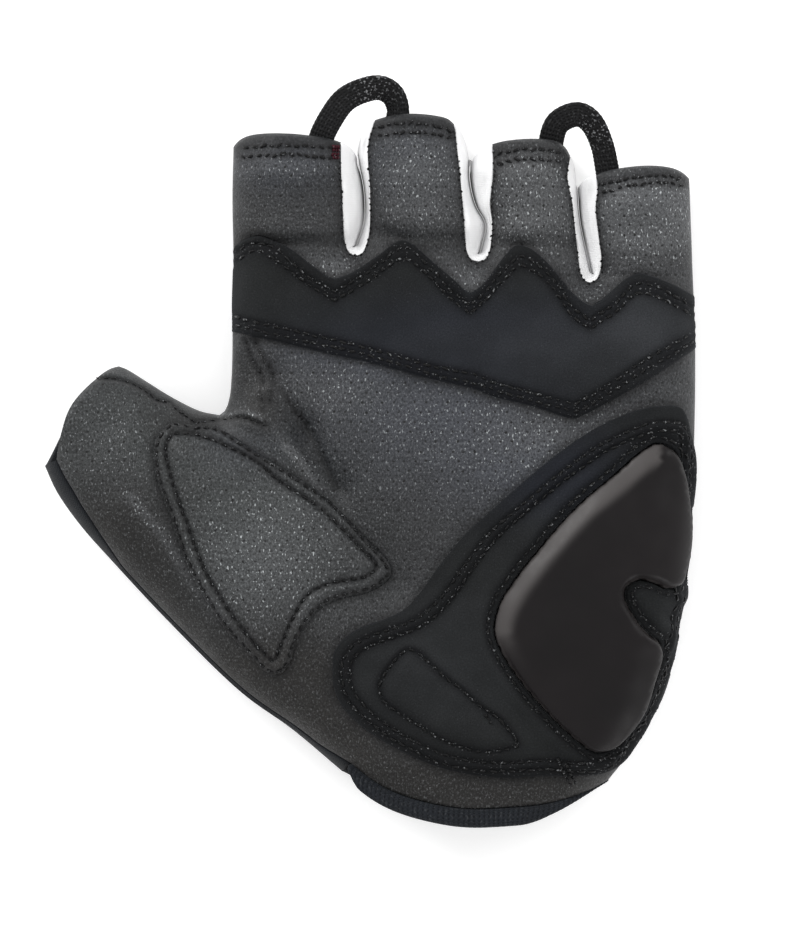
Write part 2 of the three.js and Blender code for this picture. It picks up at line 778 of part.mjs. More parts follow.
const gelOutline = outlinePoints(GEL_PAD, GEL_POINTS);
const bandOutline = KNUCKLE_BAND.map(place);
const heelOutline = outlinePoints(HEEL_PATCH, HEEL_POINTS);
const ovalOutline = outlinePoints(OVAL_PAD, OVAL_POINTS);
const thumbPatchOutline = outlinePoints(THUMB_PATCH, THUMB_PATCH_POINTS);
const knuckleBand = layer(bandOutline, BAND_THICKNESS).subtract(seat);
const thumbPatch = layer(thumbPatchOutline, THUMB_PATCH_THICKNESS).subtract(seat);
const gelWindow = prism(offsetOutline(gelOutline, SEAM_GAP));
const heelPatch = layer(heelOutline, HEEL_THICKNESS)
  .add(layer(ovalOutline, HEEL_THICKNESS + OVAL_PAD_RISE))
  .subtract(gelWindow)
  .subtract(seat);
let gelPad = layer(gelOutline, GEL_THICKNESS / GEL_STEPS);
for (let step = 1; step < GEL_STEPS; step += 1) {
  const inset = offsetOutline(gelOutline, (-step * GEL_BEVEL) / GEL_STEPS);
  gelPad = gelPad.add(layer(inset, (GEL_THICKNESS * (step + 1)) / GEL_STEPS));
}
gelPad = gelPad.subtract(seat);

// Pull loop: flat webbing bent in its own plane, its ends inside the two hems
function pullLoop(path) {
  const corners = path.map(([across, along, lift]) => {
    const point = place([across, along]);
    return new THREE.Vector3(point.x, point.y, SEAM_HEIGHT + lift * WEBBING_WIDTH);
  });
  const curve = new THREE.CatmullRomCurve3(corners, false, "centripetal");
  const twists = path.map((row, i) => [i / (path.length - 1), row[3]]);
  const positions = [];
  const indices = [];
  for (let step = 0; step <= LOOP_STEPS; step += 1) {
    const share = step / LOOP_STEPS;
    const centre = curve.getPoint(share);
    const run = curve.getTangent(share);
    const flat = new THREE.Vector3(-run.y, run.x, 0).normalize();
    const turn = THREE.MathUtils.degToRad(lookUp(twists, share));
    flat.applyAxisAngle(run, turn);
    const up = new THREE.Vector3().crossVectors(run, flat).normalize();
    const section = [[-1, -1], [1, -1], [1, 1], [-1, 1]];
    for (const [over, high] of section) {
      const corner = centre.clone();
      corner.addScaledVector(flat, over * 0.5 * WEBBING_WIDTH);
      corner.addScaledVector(up, high * 0.5 * WEBBING_THICKNESS);
      positions.push(...corner.toArray());
    }
  }
  for (let step = 0; step < LOOP_STEPS; step += 1) {
    for (let side = 0; side < 4; side += 1) {
      const a = 4 * step + side;
      const b = 4 * step + ((side + 1) % 4);
      indices.push(a, b, b + 4, a, b + 4, a + 4);
    }
  }
  const end = 4 * LOOP_STEPS;
  indices.push(0, 2, 1, 0, 3, 2, end, end + 1, end + 2, end, end + 2, end + 3);
  const geometry = new THREE.BufferGeometry();
  geometry.setAttribute("position", new THREE.Float32BufferAttribute(positions, 3));
  geometry.setIndex(indices);
  geometry.computeVertexNormals();
  return geometry;
}

// Binding around the wrist mouth, a band just beyond the ends of both panels
function wristBinding() {
  const stations = [];
  const addStation = (skin, normals, i) => {
    stations.push({ point: skin.points[i], normal: normals[i] });
  };
  palmRows.at(-1).forEach((i) => addStation(palmSkin, palmNormals, i));
  const backRow = backRows.at(-1).slice().reverse().slice(1);
  backRow.forEach((i) => addStation(backSkin, backNormals, i));
  backThumbRows.slice(-2).forEach((row) => addStation(backSkin, backNormals, row[0]));
  const middle = 0.5 * (wristLine[0].x + wristLine.at(-1).x);
  const half = 0.5 * (wristLine.at(-1).x - wristLine[0].x);
  const section = [
    [0, BINDING_PROUD],
    [BINDING_FLAT, BINDING_PROUD],
    [1, BINDING_PROUD - 0.5 * BINDING_THICKNESS],
    [BINDING_FLAT, BINDING_PROUD - BINDING_THICKNESS],
    [0, BINDING_PROUD - BINDING_THICKNESS],
  ];
  const positions = [];
  const indices = [];
  for (const { point, normal } of stations) {
    const lean = (-BINDING_LEAN * (point.x - middle)) / half;
    const out = new THREE.Vector3(lean, -1, 0).normalize();
    const flat = normal.clone().addScaledVector(out, -normal.dot(out)).normalize();
    for (const [along, high] of section) {
      const corner = point.clone();
      corner.addScaledVector(out, SEAM_GAP + along * BINDING_WIDTH);
      corner.addScaledVector(flat, high);
      corner.z = Math.max(corner.z, 0);
      positions.push(...corner.toArray());
    }
  }
  const sides = section.length;
  for (let station = 0; station < stations.length; station += 1) {
    const next = (station + 1) % stations.length;
    for (let side = 0; side < sides; side += 1) {
      const a = sides * station + side;
      const b = sides * station + ((side + 1) % sides);
      const c = sides * next + ((side + 1) % sides);
      const d = sides * next + side;
      indices.push(a, b, c, a, c, d);
    }
  }
  const geometry = new THREE.BufferGeometry();
  geometry.setAttribute("position", new THREE.Float32BufferAttribute(positions, 3));
  geometry.setIndex(indices);
  geometry.computeVertexNormals();
  return geometry;
}

const glove = new THREE.Group();
glove.name = "glove";
glove.add(makeMesh("palm_panel", palmPanel, LEATHER));
glove.add(makeMesh("back_panel", backPanel, FABRIC));
slots.forEach((slot) => glove.add(makeMesh(slot.name, fourchette(slot), WHITE_FABRIC)));
glove.add(makeMesh("knuckle_band", fromManifold(knuckleBand), SUEDE));
glove.add(makeMesh("heel_patch", fromManifold(heelPatch), SUEDE));
glove.add(makeMesh("gel_pad", fromManifold(gelPad), GEL));
glove.add(makeMesh("thumb_patch", fromManifold(thumbPatch), LEATHER));
LOOPS.forEach(({ name, path }) => glove.add(makeMesh(name, pullLoop(path), WEBBING)));
glove.add(makeMesh("wrist_binding", wristBinding(), FABRIC));

// The origin is the middle of the underside of the glove's box
const box = new THREE.Box3().setFromObject(glove);
const centre = box.getCenter(new THREE.Vector3());
glove.position.set(-centre.x, -centre.y, -box.min.z);

export default glove;
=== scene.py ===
"""Fingerless cycling glove for the left hand, palm side up, dressed for rendering."""

import math

import bpy
import numpy as np
from bpy.props import FloatProperty, FloatVectorProperty, PointerProperty
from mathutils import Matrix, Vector
from mathutils.geometry import delaunay_2d_cdt


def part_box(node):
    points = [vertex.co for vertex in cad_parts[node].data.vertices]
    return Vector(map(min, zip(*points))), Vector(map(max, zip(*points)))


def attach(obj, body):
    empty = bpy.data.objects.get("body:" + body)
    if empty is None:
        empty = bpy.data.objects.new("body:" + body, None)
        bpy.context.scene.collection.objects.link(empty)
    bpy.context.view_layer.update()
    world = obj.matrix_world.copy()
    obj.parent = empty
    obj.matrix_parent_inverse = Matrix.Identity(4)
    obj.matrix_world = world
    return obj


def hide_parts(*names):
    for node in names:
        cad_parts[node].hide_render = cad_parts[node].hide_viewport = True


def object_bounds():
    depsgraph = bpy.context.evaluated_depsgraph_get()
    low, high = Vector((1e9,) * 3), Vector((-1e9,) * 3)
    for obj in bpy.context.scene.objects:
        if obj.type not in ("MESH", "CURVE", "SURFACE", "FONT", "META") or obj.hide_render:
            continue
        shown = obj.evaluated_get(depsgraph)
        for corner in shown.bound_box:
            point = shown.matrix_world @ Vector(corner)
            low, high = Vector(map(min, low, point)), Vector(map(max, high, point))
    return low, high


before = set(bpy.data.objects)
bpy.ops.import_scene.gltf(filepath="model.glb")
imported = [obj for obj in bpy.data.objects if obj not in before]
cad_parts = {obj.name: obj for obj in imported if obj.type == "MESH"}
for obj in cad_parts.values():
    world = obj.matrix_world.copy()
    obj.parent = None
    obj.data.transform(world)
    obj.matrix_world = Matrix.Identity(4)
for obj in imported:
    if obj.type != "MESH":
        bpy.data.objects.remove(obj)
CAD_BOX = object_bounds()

bl_info = {
    "name": "Cycling glove",
    "version": (1, 0, 0),
    "blender": (4, 5, 0),
    "location": "3D View > Sidebar > Glove",
    "description": "Builds a fingerless cycling glove on its packed frame",
    "category": "Object",
}

# Main sizes, in millimetres
PALM_LENGTH = 125.0
FINGER_DEPTH = 18.0
PALM_DEPTH = 20.0
SEAM_HEIGHT = 9.0
SEAM_GAP = 0.3
SIDE_ROUND = 10.5
LEATHER_WALL = 1.6
FABRIC_WALL = 1.2
STRIP_WALL = 0.8
PATCH_WALL = 0.4
GEL_WALL = 0.6
WRAP_WIDTH = 4.0
EXTENSION = 30.0
HEM_ROUND = 1.3
LIP_HEIGHT = 0.45
SEAM_DEPTH = 0.75
STITCH_PITCH = 2.1
STITCH_SPACING = 0.4
EDGE_SPACING = 0.6
SIDE_CLEAR = 1.3
WEBBING_WIDTH = 5.6
WEBBING_THICKNESS = 1.3
WEBBING_RIB = 0.95
BINDING_WIDTH = 4.2
BINDING_THICKNESS = 2.6
BINDING_PROUD = 0.5
BINDING_RIB = 1.1
BINDING_FLUSH_RIGHT = (22.0, 30.0)
BINDING_TAPER_RIGHT = (13.0, 31.0)
BINDING_TAPER_LEFT = (22.3, 26.6)
BINDING_TAPER = 0.85
BINDING_LEAN_RIGHT = -0.45
BINDING_LEAN_LEFT = 0.1

# Relief of the sewn patches, in millimetres
BAND_SIDE_HEIGHT = 0.35
HEEL_SIDE_HEIGHT = 0.45
PATCH_RISE = 0.75
PATCH_ROUND = 0.9
BAND_SWELL = 0.25
HEEL_SWELL = 0.5
ROW_SWELL = 0.55
OVAL_SWELL = 0.95
OVAL_LIP = 0.35
GEL_COLLAR = 0.8
GEL_GAP = 0.5
THUMB_HEIGHT = 0.9
THUMB_ROUND = 0.7
THUMB_SWELL = 1.5
THUMB_SWELL_REACH = 3.4
THUMB_GROOVES = (0.32, 0.5)
GEL_BASE = 1.0
GEL_RISE = 2.1
GEL_BEVEL = 3.6
GEL_ROUND = 0.7
GEL_LIT_WAY = (-0.77, 0.64)

# How finely the meshes are cut
FINGER_COLUMNS = 34
FINGER_ROWS = 40
UPPER_PALM_ROWS = 46
LOWER_PALM_ROWS = 104
THUMB_COLUMNS = 58
FOLD_ROWS = 8
STRIP_STEPS = 44
STRIP_FRONT_ROWS = 16
STRIP_BACK_ROWS = 8
WEBBING_SIDES = 20
BINDING_STEPS = 420
BINDING_SIDES = 18
THREAD_RINGS = 6
THREAD_SIDES = 6
PATCH_FIELD = 0.95
PATCH_LEAST = 0.3
PATCH_RINGS = (-0.25, -0.6, -1.1)
GUIDE_OFFSETS = (0, 0.35, -0.35, 0.75, -0.75, 1.2, -1.2)

# Every outline and seam is a list of points on the pattern sheet. The sheet is read at
# PATTERN_STEP millimetres a unit, down from the top left, with the wrist at WRIST_ROW.
# A point given twice is a sharp corner.
PATTERN_STEP = 0.22
MIDDLE_COLUMN = 463.0
WRIST_ROW = 823.0

INDEX_SIDE = [(233, 146), (232, 200), (233, 262), (232, 300), (232, 346), (231, 380),
              (229, 398), (225, 410), (219, 415)]
THUMB_TOP = [(219, 415), (200, 411), (173, 398), (147, 382), (126, 369), (118, 366)]
THUMB_MOUTH = [(118, 366), (110, 369), (95, 381), (72, 406), (57, 437), (44, 466)]
THUMB_LOWER = [(44, 466), (56, 492), (80, 526), (112, 562), (168, 622), (242, 694), (292, 730),
               (342, 772)]
LITTLE_SIDE = [(690, 178), (693, 262), (696, 350), (694, 466), (690, 526), (682, 610),
               (671, 658), (655, 706), (631, 752), (610, 779)]
WRIST_LINE = [(342, 772), (370, 787), (400, 797), (458, 806), (504, 805), (550, 800),
              (586, 790), (610, 779)]
THUMB_BASE = [(219, 415), (262, 480), (295, 545), (320, 610), (336, 675), (342, 725), (342, 772)]

SLOTS = [
    {
        "name": "fourchette_index_middle",
        "meeting": [(357, 243), (364, 222), (364, 190), (358, 158), (357, 130)],
        "left": [(356, 256), (350, 254), (346, 247), (344, 235), (343, 213), (341, 175), (340, 143)],
        "right": [(356, 256), (362, 254), (366, 246), (369, 236), (370, 222), (370, 188), (368, 149),
                  (375, 121)],
        "dips": (3.2, 7.2),
    },
    {
        "name": "fourchette_middle_ring",
        "meeting": [(481, 250), (486, 224), (476, 205), (470, 181), (470, 150)],
        "left": [(478, 262), (471, 260), (467, 253), (465, 240), (463, 210), (460, 177), (457, 150),
                 (454, 125)],
        "right": [(478, 262), (485, 260), (489, 253), (491, 242), (492, 224), (490, 204), (493, 170),
                  (492, 145)],
        "dips": (9.0, 4.6),
    },
    {
        "name": "fourchette_ring_little",
        "meeting": [(591, 270), (586, 248), (580, 217), (578, 184), (577, 160)],
        "left": [(589, 283), (583, 280), (580, 272), (577, 250), (572, 204), (567, 177), (570, 156)],
        "right": [(589, 283), (596, 280), (600, 271), (601, 260), (598, 237), (595, 208), (597, 190),
                  (596, 176)],
        "dips": (5.6, 2.6),
    },
]
CROTCH_ENDS = [(233, 262), (693, 266)]
HEM_CORNERS = [(233, 146), (690, 178)]
HEM_LINES = [
    [(233, 146), (240, 140), (251, 136), (290, 135), (330, 140), (341, 143)],
    [(375, 121), (386, 118), (409, 115), (436, 117), (448, 120), (454, 125)],
    [(492, 145), (505, 142), (535, 140), (558, 143), (566, 149), (570, 156)],
    [(596, 176), (606, 172), (640, 167), (668, 168), (681, 172), (690, 178)],
]

# Share of WRAP_WIDTH by which the back fabric folds over the thumb edge.
# Columns: share from the wrist to the thumb mouth, share of the width.
WRAP_TABLE = [(0, 0.75), (0.08, 0.4), (0.2, 0.3), (0.7, 0.3), (0.82, 0.75), (0.92, 0.95),
              (1, 0.85)]

# Soft mounds. Columns: column, row, half length across and along, rise (mm).
MOUNDS = [
    (602, 584, 30.5, 45.0, 3.2), (190, 528, 32.5, 32.5, 2.4), (417, 709, 20.3, 20.0, 1.0),
    (287, 178, 13.2, 12.5, 0.9), (417, 171, 12.2, 15.0, 0.9), (532, 185, 11.2, 12.5, 0.9),
    (643, 213, 11.2, 11.3, 0.9),
]
FOLDS = [
    ((274, 377), (306, 431), 3.05, 1.6), ((306, 431), (336, 488), 3.45, 2.1),
    ((336, 488), (394, 584), 7.1, 2.4), ((253, 346), (260, 403), 2.0, 1.2),
    ((237, 245), (334, 248), 2.2, 1.4), ((375, 238), (458, 241), 2.2, 1.4),
    ((495, 247), (574, 251), 2.2, 1.4), ((597, 278), (689, 278), 2.2, 1.0),
]

# Fine folds and dents of the leather. Columns: points, half width (mm), depth (mm,
# negative for a ridge).
CREASES = [
    ([(282, 389), (290, 402), (300, 416), (311, 434), (322, 456), (331, 476), (338, 490)], 0.42, 1.0),
    ([(284, 404), (298, 430), (314, 462), (326, 486)], 2.2, 0.9),
    ([(338, 490), (352, 522), (372, 552), (392, 575)], 2.6, 0.5),
    ([(270, 428), (288, 447), (307, 469), (322, 492)], 1.7, -0.75),
    ([(240, 240), (285, 244), (328, 239)], 1.8, 0.9),
    ([(244, 211), (290, 216), (336, 211)], 3.2, 0.45),
    ([(376, 200), (415, 195), (455, 203)], 2.8, 0.5),
    ([(378, 226), (398, 240), (432, 246), (462, 243)], 2.0, 0.95),
    ([(496, 213), (530, 209), (566, 215)], 2.8, 0.3),
    ([(496, 240), (520, 244), (550, 238), (572, 244)], 2.0, 0.85),
    ([(604, 236), (640, 230), (686, 238)], 2.8, 0.3),
    ([(604, 258), (640, 262), (688, 258)], 2.0, 0.7),
    ([(300, 262), (318, 270), (335, 276), (352, 270), (366, 262)], 2.2, -0.8),
    ([(440, 274), (456, 286), (471, 291), (484, 282)], 2.2, -0.8),
    ([(566, 288), (580, 299), (592, 301), (606, 294)], 2.2, -0.8),
    ([(236, 170), (290, 172), (338, 170)], 3.0, -0.8),
    ([(376, 150), (412, 150), (455, 152)], 3.2, -0.9),
    ([(496, 178), (530, 175), (566, 180)], 3.0, -0.9),
    ([(602, 206), (640, 203), (686, 206)], 3.0, -0.8),
    ([(239, 350), (246, 375), (248, 398)], 1.2, 0.5),
    ([(96, 470), (130, 500), (168, 560), (205, 612)], 6.5, 0.7),
    ([(150, 395), (168, 470), (182, 540)], 4.0, 0.5),
    ([(288, 676), (320, 690), (350, 720)], 3.4, 0.7),
    ([(300, 640), (318, 652), (330, 690)], 2.4, 0.5),
    ([(246, 700), (262, 678), (276, 674)], 2.6, 0.5),
    ([(400, 470), (450, 520), (470, 500)], 7.0, 0.35),
    ([(636, 395), (600, 412), (560, 440)], 3.0, 0.5),
    ([(560, 427), (480, 400), (400, 378)], 2.8, 0.4),
]

# Slow changes of colour, and painted light and shade. Columns: column, row, half width and half height
# (mm), share.
# The light and bright spots are painted light and the dark spots painted shade; the bluish spots are
# partly tone and partly painted sheen, the brownish spots partly tone and partly painted shade, the
# greenish spots tone.
TONES = {
    "cool_tone_and_sheen": [(460, 420, 26, 14, 1), (410, 165, 12, 8, 0.8), (285, 168, 13, 5, 0.7),
             (360, 350, 20, 8, 0.6), (640, 200, 12, 6, 0.5), (240, 450, 9, 6, 0.5),
             (500, 330, 30, 8, 0.9), (560, 480, 18, 9, 0.9)],
    "warm_tone_and_shade": [(230, 690, 22, 12, 1), (480, 790, 36, 9, 1.4), (110, 560, 15, 17, 1.2),
             (300, 690, 12, 12, 0.8), (200, 420, 10, 3, 0.5), (340, 730, 12, 10, 0.8),
             (250, 240, 6, 3, 0.6), (262, 400, 4, 7, 0.8), (150, 620, 14, 10, 0.8)],
    "green": [(250, 540, 20, 16, 1), (120, 440, 16, 14, 0.7)],
    "dark": [(380, 530, 12, 9, 0.5), (130, 565, 11, 13, 0.7), (244, 372, 5, 11, 1.0),
             (590, 298, 6, 4, 0.8), (470, 790, 45, 6, 0.7), (165, 615, 9, 9, 0.5),
             (260, 710, 14, 8, 0.3),
             (250, 215, 4, 16, 0.4), (268, 300, 6, 5, 0.4)],
    "bright": [(455, 345, 26, 6, 0.3), (550, 345, 12, 10, 0.3), (645, 330, 10, 9, 0.95),
               (440, 655, 20, 14, 0.25)],
    "light": [(262, 556, 17, 15, 0.85), (470, 440, 34, 17, 0.45), (110, 450, 12, 12, 0.5),
              (560, 430, 14, 8, 0.4),
              (418, 172, 11, 7, 1), (425, 215, 10, 6, 0.45), (285, 170, 13, 3, 0.5),
              (335, 272, 6, 4, 0.8), (471, 286, 6, 4, 0.8), (590, 298, 6, 4, 0.75),
              (642, 212, 13, 10, 1.3), (530, 190, 8, 9, 1.2), (535, 215, 11, 8, 0.6),
              (285, 216, 12, 4, 0.25), (640, 240, 12, 6, 0.5), (330, 385, 14, 6, 0.4)],
}

# Ridges that catch the light. Columns: points, half width (mm), share.
SHINY_RIDGES = [
    ([(132, 497), (154, 522), (177, 553), (200, 588), (218, 613)], 1.3, 0.7),
    ([(286, 447), (307, 467), (323, 491)], 1.1, 0.8),
    ([(216, 416), (235, 414), (246, 412), (255, 415), (262, 420)], 0.5, 0.9),
]

# Sewn seams of the leather, pulled in between two soft lips
SEAMS = {
    "thumb_top": [(97, 379), (119, 380), (141, 388), (159, 401), (170, 403), (179, 411), (196, 422)],
    "crotch": [(196, 423), (212, 421), (230, 419), (243, 418), (256, 422), (267, 427)],
    "root_outer": [(255, 340), (264, 358), (272, 372), (275, 386), (271, 400), (265, 410)],
    "root_inner": [(246, 340), (253, 360), (262, 376), (266, 390), (262, 402)],
}

KNUCKLE_TOP = [(231, 249), (245, 240), (259, 236), (275, 241), (294, 253), (313, 267), (326, 276),
               (335, 280), (335, 280), (350, 275), (365, 266), (381, 255), (393, 246), (402, 242),
               (412, 246), (424, 256), (437, 267), (453, 281), (464, 291), (471, 294), (471, 294),
               (484, 284), (495, 270), (506, 256), (517, 246), (528, 249), (541, 259), (556, 275),
               (570, 293), (582, 303), (591, 307), (591, 307), (603, 299), (616, 288), (628, 278),
               (638, 274), (650, 277), (672, 286), (694, 296)]
KNUCKLE_BOTTOM = [(696, 348), (656, 374), (622, 394), (589, 412), (574, 419), (574, 419),
                  (563, 417), (533, 407), (490, 396), (479, 391), (421, 377), (373, 364),
                  (332, 355), (294, 346), (255, 337), (231, 331)]
KNUCKLE_ROWS = [
    [(233, 257), (246, 249), (259, 245), (271, 250), (294, 265), (313, 279), (335, 293), (335, 293),
     (348, 285), (365, 276), (381, 265), (397, 253), (408, 252), (421, 261), (437, 276), (453, 292),
     (469, 306), (469, 306), (486, 291), (506, 270), (520, 260), (539, 268), (556, 286), (573, 310),
     (589, 321), (589, 321), (599, 314), (616, 303), (629, 290), (639, 286), (656, 290), (672, 298),
     (694, 310)],
    [(236, 316), (254, 322), (294, 332), (342, 343), (389, 355), (437, 368), (479, 377), (490, 382),
     (540, 396), (573, 405), (573, 405), (586, 398), (606, 386), (639, 364), (694, 331)],
    [(236, 324), (254, 330), (294, 340), (342, 350), (389, 362), (437, 375), (479, 385), (490, 389),
     (540, 403), (573, 412), (573, 412), (588, 405), (610, 392), (643, 371), (694, 340)],
]
KNUCKLE_INNER_ROW = 1.9

HEEL_EDGE = [(683, 413), (677, 407), (661, 406), (634, 411), (599, 426), (563, 449), (527, 478),
             (491, 510), (463, 536), (438, 567), (420, 592), (404, 609), (385, 618), (362, 626),
             (345, 637), (335, 650), (333, 668), (335, 688), (345, 708), (369, 730), (403, 750),
             (438, 765), (472, 773), (507, 776), (541, 774), (573, 774), (600, 771), (620, 760),
             (636, 739), (650, 717), (660, 697), (668, 676), (675, 654), (682, 614), (688, 579),
             (692, 525), (693, 471), (690, 436)]
HEEL_ROW = [(676, 425), (660, 423), (641, 427), (599, 446), (563, 471), (527, 500), (491, 532),
            (465, 564), (440, 598), (420, 616), (396, 627), (369, 636), (352, 646), (343, 660),
            (343, 680), (350, 698), (365, 715), (386, 732), (417, 749), (441, 760), (472, 767),
            (507, 769), (541, 767), (573, 768), (595, 765), (614, 755), (629, 732), (644, 713),
            (653, 693), (662, 667), (669, 647), (675, 612), (681, 578), (685, 525), (686, 471),
            (683, 438)]
HEEL_ROW_GAP = 1.8
OVAL_ROW = [(407, 649), (396, 658), (383, 676), (380, 686), (384, 698), (396, 708), (420, 724),
            (446, 739), (469, 747), (489, 749), (507, 746), (517, 742), (509, 729), (500, 718),
            (482, 706), (465, 691), (446, 677), (431, 664), (418, 652)]
GEL_EDGE = [(655, 443), (671, 452), (679, 472), (684, 505), (685, 538), (681, 564), (674, 585),
            (661, 588), (648, 582), (635, 580), (624, 587), (623, 597), (630, 611), (643, 630),
            (654, 639), (657, 652), (650, 678), (641, 707), (626, 730), (609, 746), (591, 749),
            (578, 741), (546, 711), (518, 678), (499, 648), (493, 629), (498, 605), (513, 579),
            (546, 538), (578, 503), (611, 475), (639, 451)]
GEL_ROW_GAP = 1.2
THUMB_ROW = [(173, 426), (173, 426), (194, 429), (222, 434), (258, 456), (285, 472), (319, 496),
             (345, 520), (367, 543), (385, 561), (389, 572), (383, 580), (367, 589), (337, 596),
             (317, 607), (307, 619), (299, 631), (293, 647), (288, 662), (280, 670), (269, 668),
             (257, 656), (230, 627), (207, 593), (188, 555), (175, 516), (161, 478), (158, 450),
             (162, 437)]
THUMB_INNER_ROW = [(174, 435), (174, 435), (194, 436), (222, 445), (259, 463), (276, 478),
                   (322, 511), (360, 548), (376, 567), (363, 577), (330, 583), (309, 593),
                   (292, 620), (282, 643), (274, 659), (265, 652), (246, 631), (226, 603),
                   (207, 570), (188, 520), (172, 474), (168, 446)]
HEM_ROWS = [
    [(243, 149), (290, 147), (334, 150)], [(240, 158), (290, 157), (335, 159)],
    [(377, 129), (412, 125), (452, 131)], [(376, 138), (412, 134), (453, 139)],
    [(495, 156), (527, 151), (562, 154)], [(495, 165), (527, 161), (561, 163)],
    [(598, 186), (627, 180), (654, 177), (683, 179)], [(600, 194), (627, 188), (654, 184), (684, 186)],
]
BAR_TACKS = [((556, 756), (568, 783)), ((564, 761), (573, 781)), ((484, 712), (490, 722))]
ACCENT_TACK = ((336, 146), (336, 161))

# Pull loops. Columns: column, row, height over the seam (mm), twist (degrees).
LOOPS = {
    "pull_loop_index_middle": [
        (318, 165, 4.8, 0), (321, 140, 5.0, 0), (331, 119, 5.2, 0), (347, 99, 5.5, 5),
        (372, 89, 5.8, 10), (391, 94, 5.3, 22), (398, 110, 4.5, 32), (396, 126, 3.8, 25),
        (396, 146, 3.4, 15),
    ],
    "pull_loop_ring_little": [
        (549, 168, 2.9, 0), (551, 142, 3.1, 4), (558, 123, 4.0, 10), (575, 115, 4.8, 15),
        (592, 124, 4.4, 25), (602, 145, 3.2, 30), (607, 168, 2.5, 25), (611, 192, 2.2, 15),
    ],
}


def pattern(points):
    """Pattern points in millimetres: x from the middle of the palm, y from the wrist."""
    points = np.asarray(points, float)
    across = (points[:, 0] - MIDDLE_COLUMN) * PATTERN_STEP
    along = (WRIST_ROW - points[:, 1]) * PATTERN_STEP
    return np.column_stack((across, along))


def spline(points, closed=False, samples=12):
    """Centripetal smooth line through the points, with many samples."""
    if len(points) < 3 and not closed:
        return points
    if closed:
        whole = np.vstack((points[-1:], points, points[:2]))
    else:
        whole = np.vstack((2 * points[0] - points[1], points, 2 * points[-1] - points[-2]))
    share = np.linspace(0, 1, samples, endpoint=False)[:, None]
    parts = []
    for before, start, end, after in zip(whole, whole[1:], whole[2:], whole[3:]):
        first, middle, last = (
            max(float(np.linalg.norm(b - a)) ** 0.5, 1e-4)
            for a, b in ((before, start), (start, end), (end, after))
        )
        leave = (start - before) / first - (end - before) / (first + middle)
        leave = (leave + (end - start) / middle) * middle
        enter = (end - start) / middle - (after - start) / (middle + last)
        enter = (enter + (after - end) / last) * middle
        cube, square = share ** 3, share ** 2
        parts.append(
            (2 * cube - 3 * square + 1) * start + (cube - 2 * square + share) * leave
            + (3 * square - 2 * cube) * end + (cube - square) * enter
        )
    if not closed:
        parts.append(points[-1:])
    return np.vstack(parts)


def line_lengths(line):
    return np.concatenate(([0.0], np.cumsum(np.linalg.norm(np.diff(line, axis=0), axis=1))))


def at_lengths(line, wanted):
    """Points of a line at the wanted lengths along it."""
    lengths = line_lengths(line)
    return np.column_stack([np.interp(wanted, lengths, line[:, k]) for k in range(line.shape[1])])


def resample(line, count):
    return at_lengths(line, np.linspace(0, line_lengths(line)[-1], count + 1))


def smooth_line(points, spacing=0.8, closed=False):
    """Even points on a smooth line; a repeated point is a corner. A closed line with
    corners starts at one of them."""
    points = np.asarray(points, float)
    same = np.all(np.isclose(points[1:], points[:-1]), axis=1)
    if closed and not same.any():
        line = spline(points, True)
        line = np.vstack((line, line[:1]))
        return resample(line, max(8, round(line_lengths(line)[-1] / spacing)))[:-1]
    if closed:
        points = np.vstack((points, points[:1]))
        same = np.append(same, False)
    cuts = [0, *(np.flatnonzero(same) + 1), len(points)]
    runs = [points[a:b] for a, b in zip(cuts, cuts[1:]) if b - a > 1]
    parts = []
    for run in runs:
        line = spline(run)
        line = resample(line, max(1, round(line_lengths(line)[-1] / spacing)))
        parts.append(line if not parts else line[1:])
    joined = np.vstack(parts)
    return joined[:-1] if closed else joined


def extended(line, length=EXTENSION):
    head = line[0] + (line[0] - line[1]) / np.linalg.norm(line[0] - line[1]) * length
    tail = line[-1] + (line[-1] - line[-2]) / np.linalg.norm(line[-1] - line[-2]) * length
    return np.vstack((head, line, tail))


def nearest(points, line):
    """For each point: distance to the line, length along it, side (1 is left), and the
    nearest place."""
    start = line[:-1]
    run = np.diff(line, axis=0)
    squared = (run ** 2).sum(1) + 1e-12
    begin = line_lengths(line)[:-1]
    count = len(points)
    distance, along, side = np.zeros(count), np.zeros(count), np.zeros(count)
    place = np.zeros((count, 2))
    block = max(1, 1500000 // len(run))
    for low in range(0, count, block):
        chosen = slice(low, low + block)
        spot = points[chosen, None, :]
        share = np.clip(((spot - start) * run).sum(2) / squared, 0, 1)
        foot = start + share[..., None] * run
        gap = spot - foot
        far = (gap ** 2).sum(2)
        best = far.argmin(1)
        rows = np.arange(len(best))
        distance[chosen] = np.sqrt(far[rows, best])
        along[chosen] = begin[best] + share[rows, best] * np.sqrt(squared[best])
        cross = run[best, 0] * gap[rows, best, 1] - run[best, 1] * gap[rows, best, 0]
        side[chosen] = np.where(cross < 0, -1.0, 1.0)
        place[chosen] = foot[rows, best]
    return distance, along, side, place


def near(points, line, reach):
    """The same for the points within reach of a line; the others are left far away."""
    low, high = line.min(0) - reach, line.max(0) + reach
    chosen = ((points >= low) & (points <= high)).all(1)
    count = len(points)
    result = [np.full(count, 1e3), np.zeros(count), np.ones(count), points + 1e3]
    if chosen.any():
        for whole, part in zip(result, nearest(points[chosen], line)):
            whole[chosen] = part
    return result


def inside(points, outline):
    """Whether each point is inside a closed outline."""
    result = np.zeros(len(points), bool)
    x, y = points[:, 0], points[:, 1]
    for (ax, ay), (bx, by) in zip(outline, np.roll(outline, -1, axis=0)):
        crosses = (ay > y) != (by > y)
        if ay != by:
            result ^= crosses & (x < (bx - ax) * (y - ay) / (by - ay) + ax)
    return result


def closed_ring(outline):
    return np.vstack((outline, outline[:1]))


def depth_inside(points, outline):
    """Distance to a closed outline, positive inside."""
    distance = nearest(points, closed_ring(outline))[0]
    return np.where(inside(points, outline), distance, -distance)


def unit(vectors, least=1e-9):
    """The vectors with a length of one."""
    return vectors / (np.linalg.norm(vectors, axis=-1)[..., None] + least)


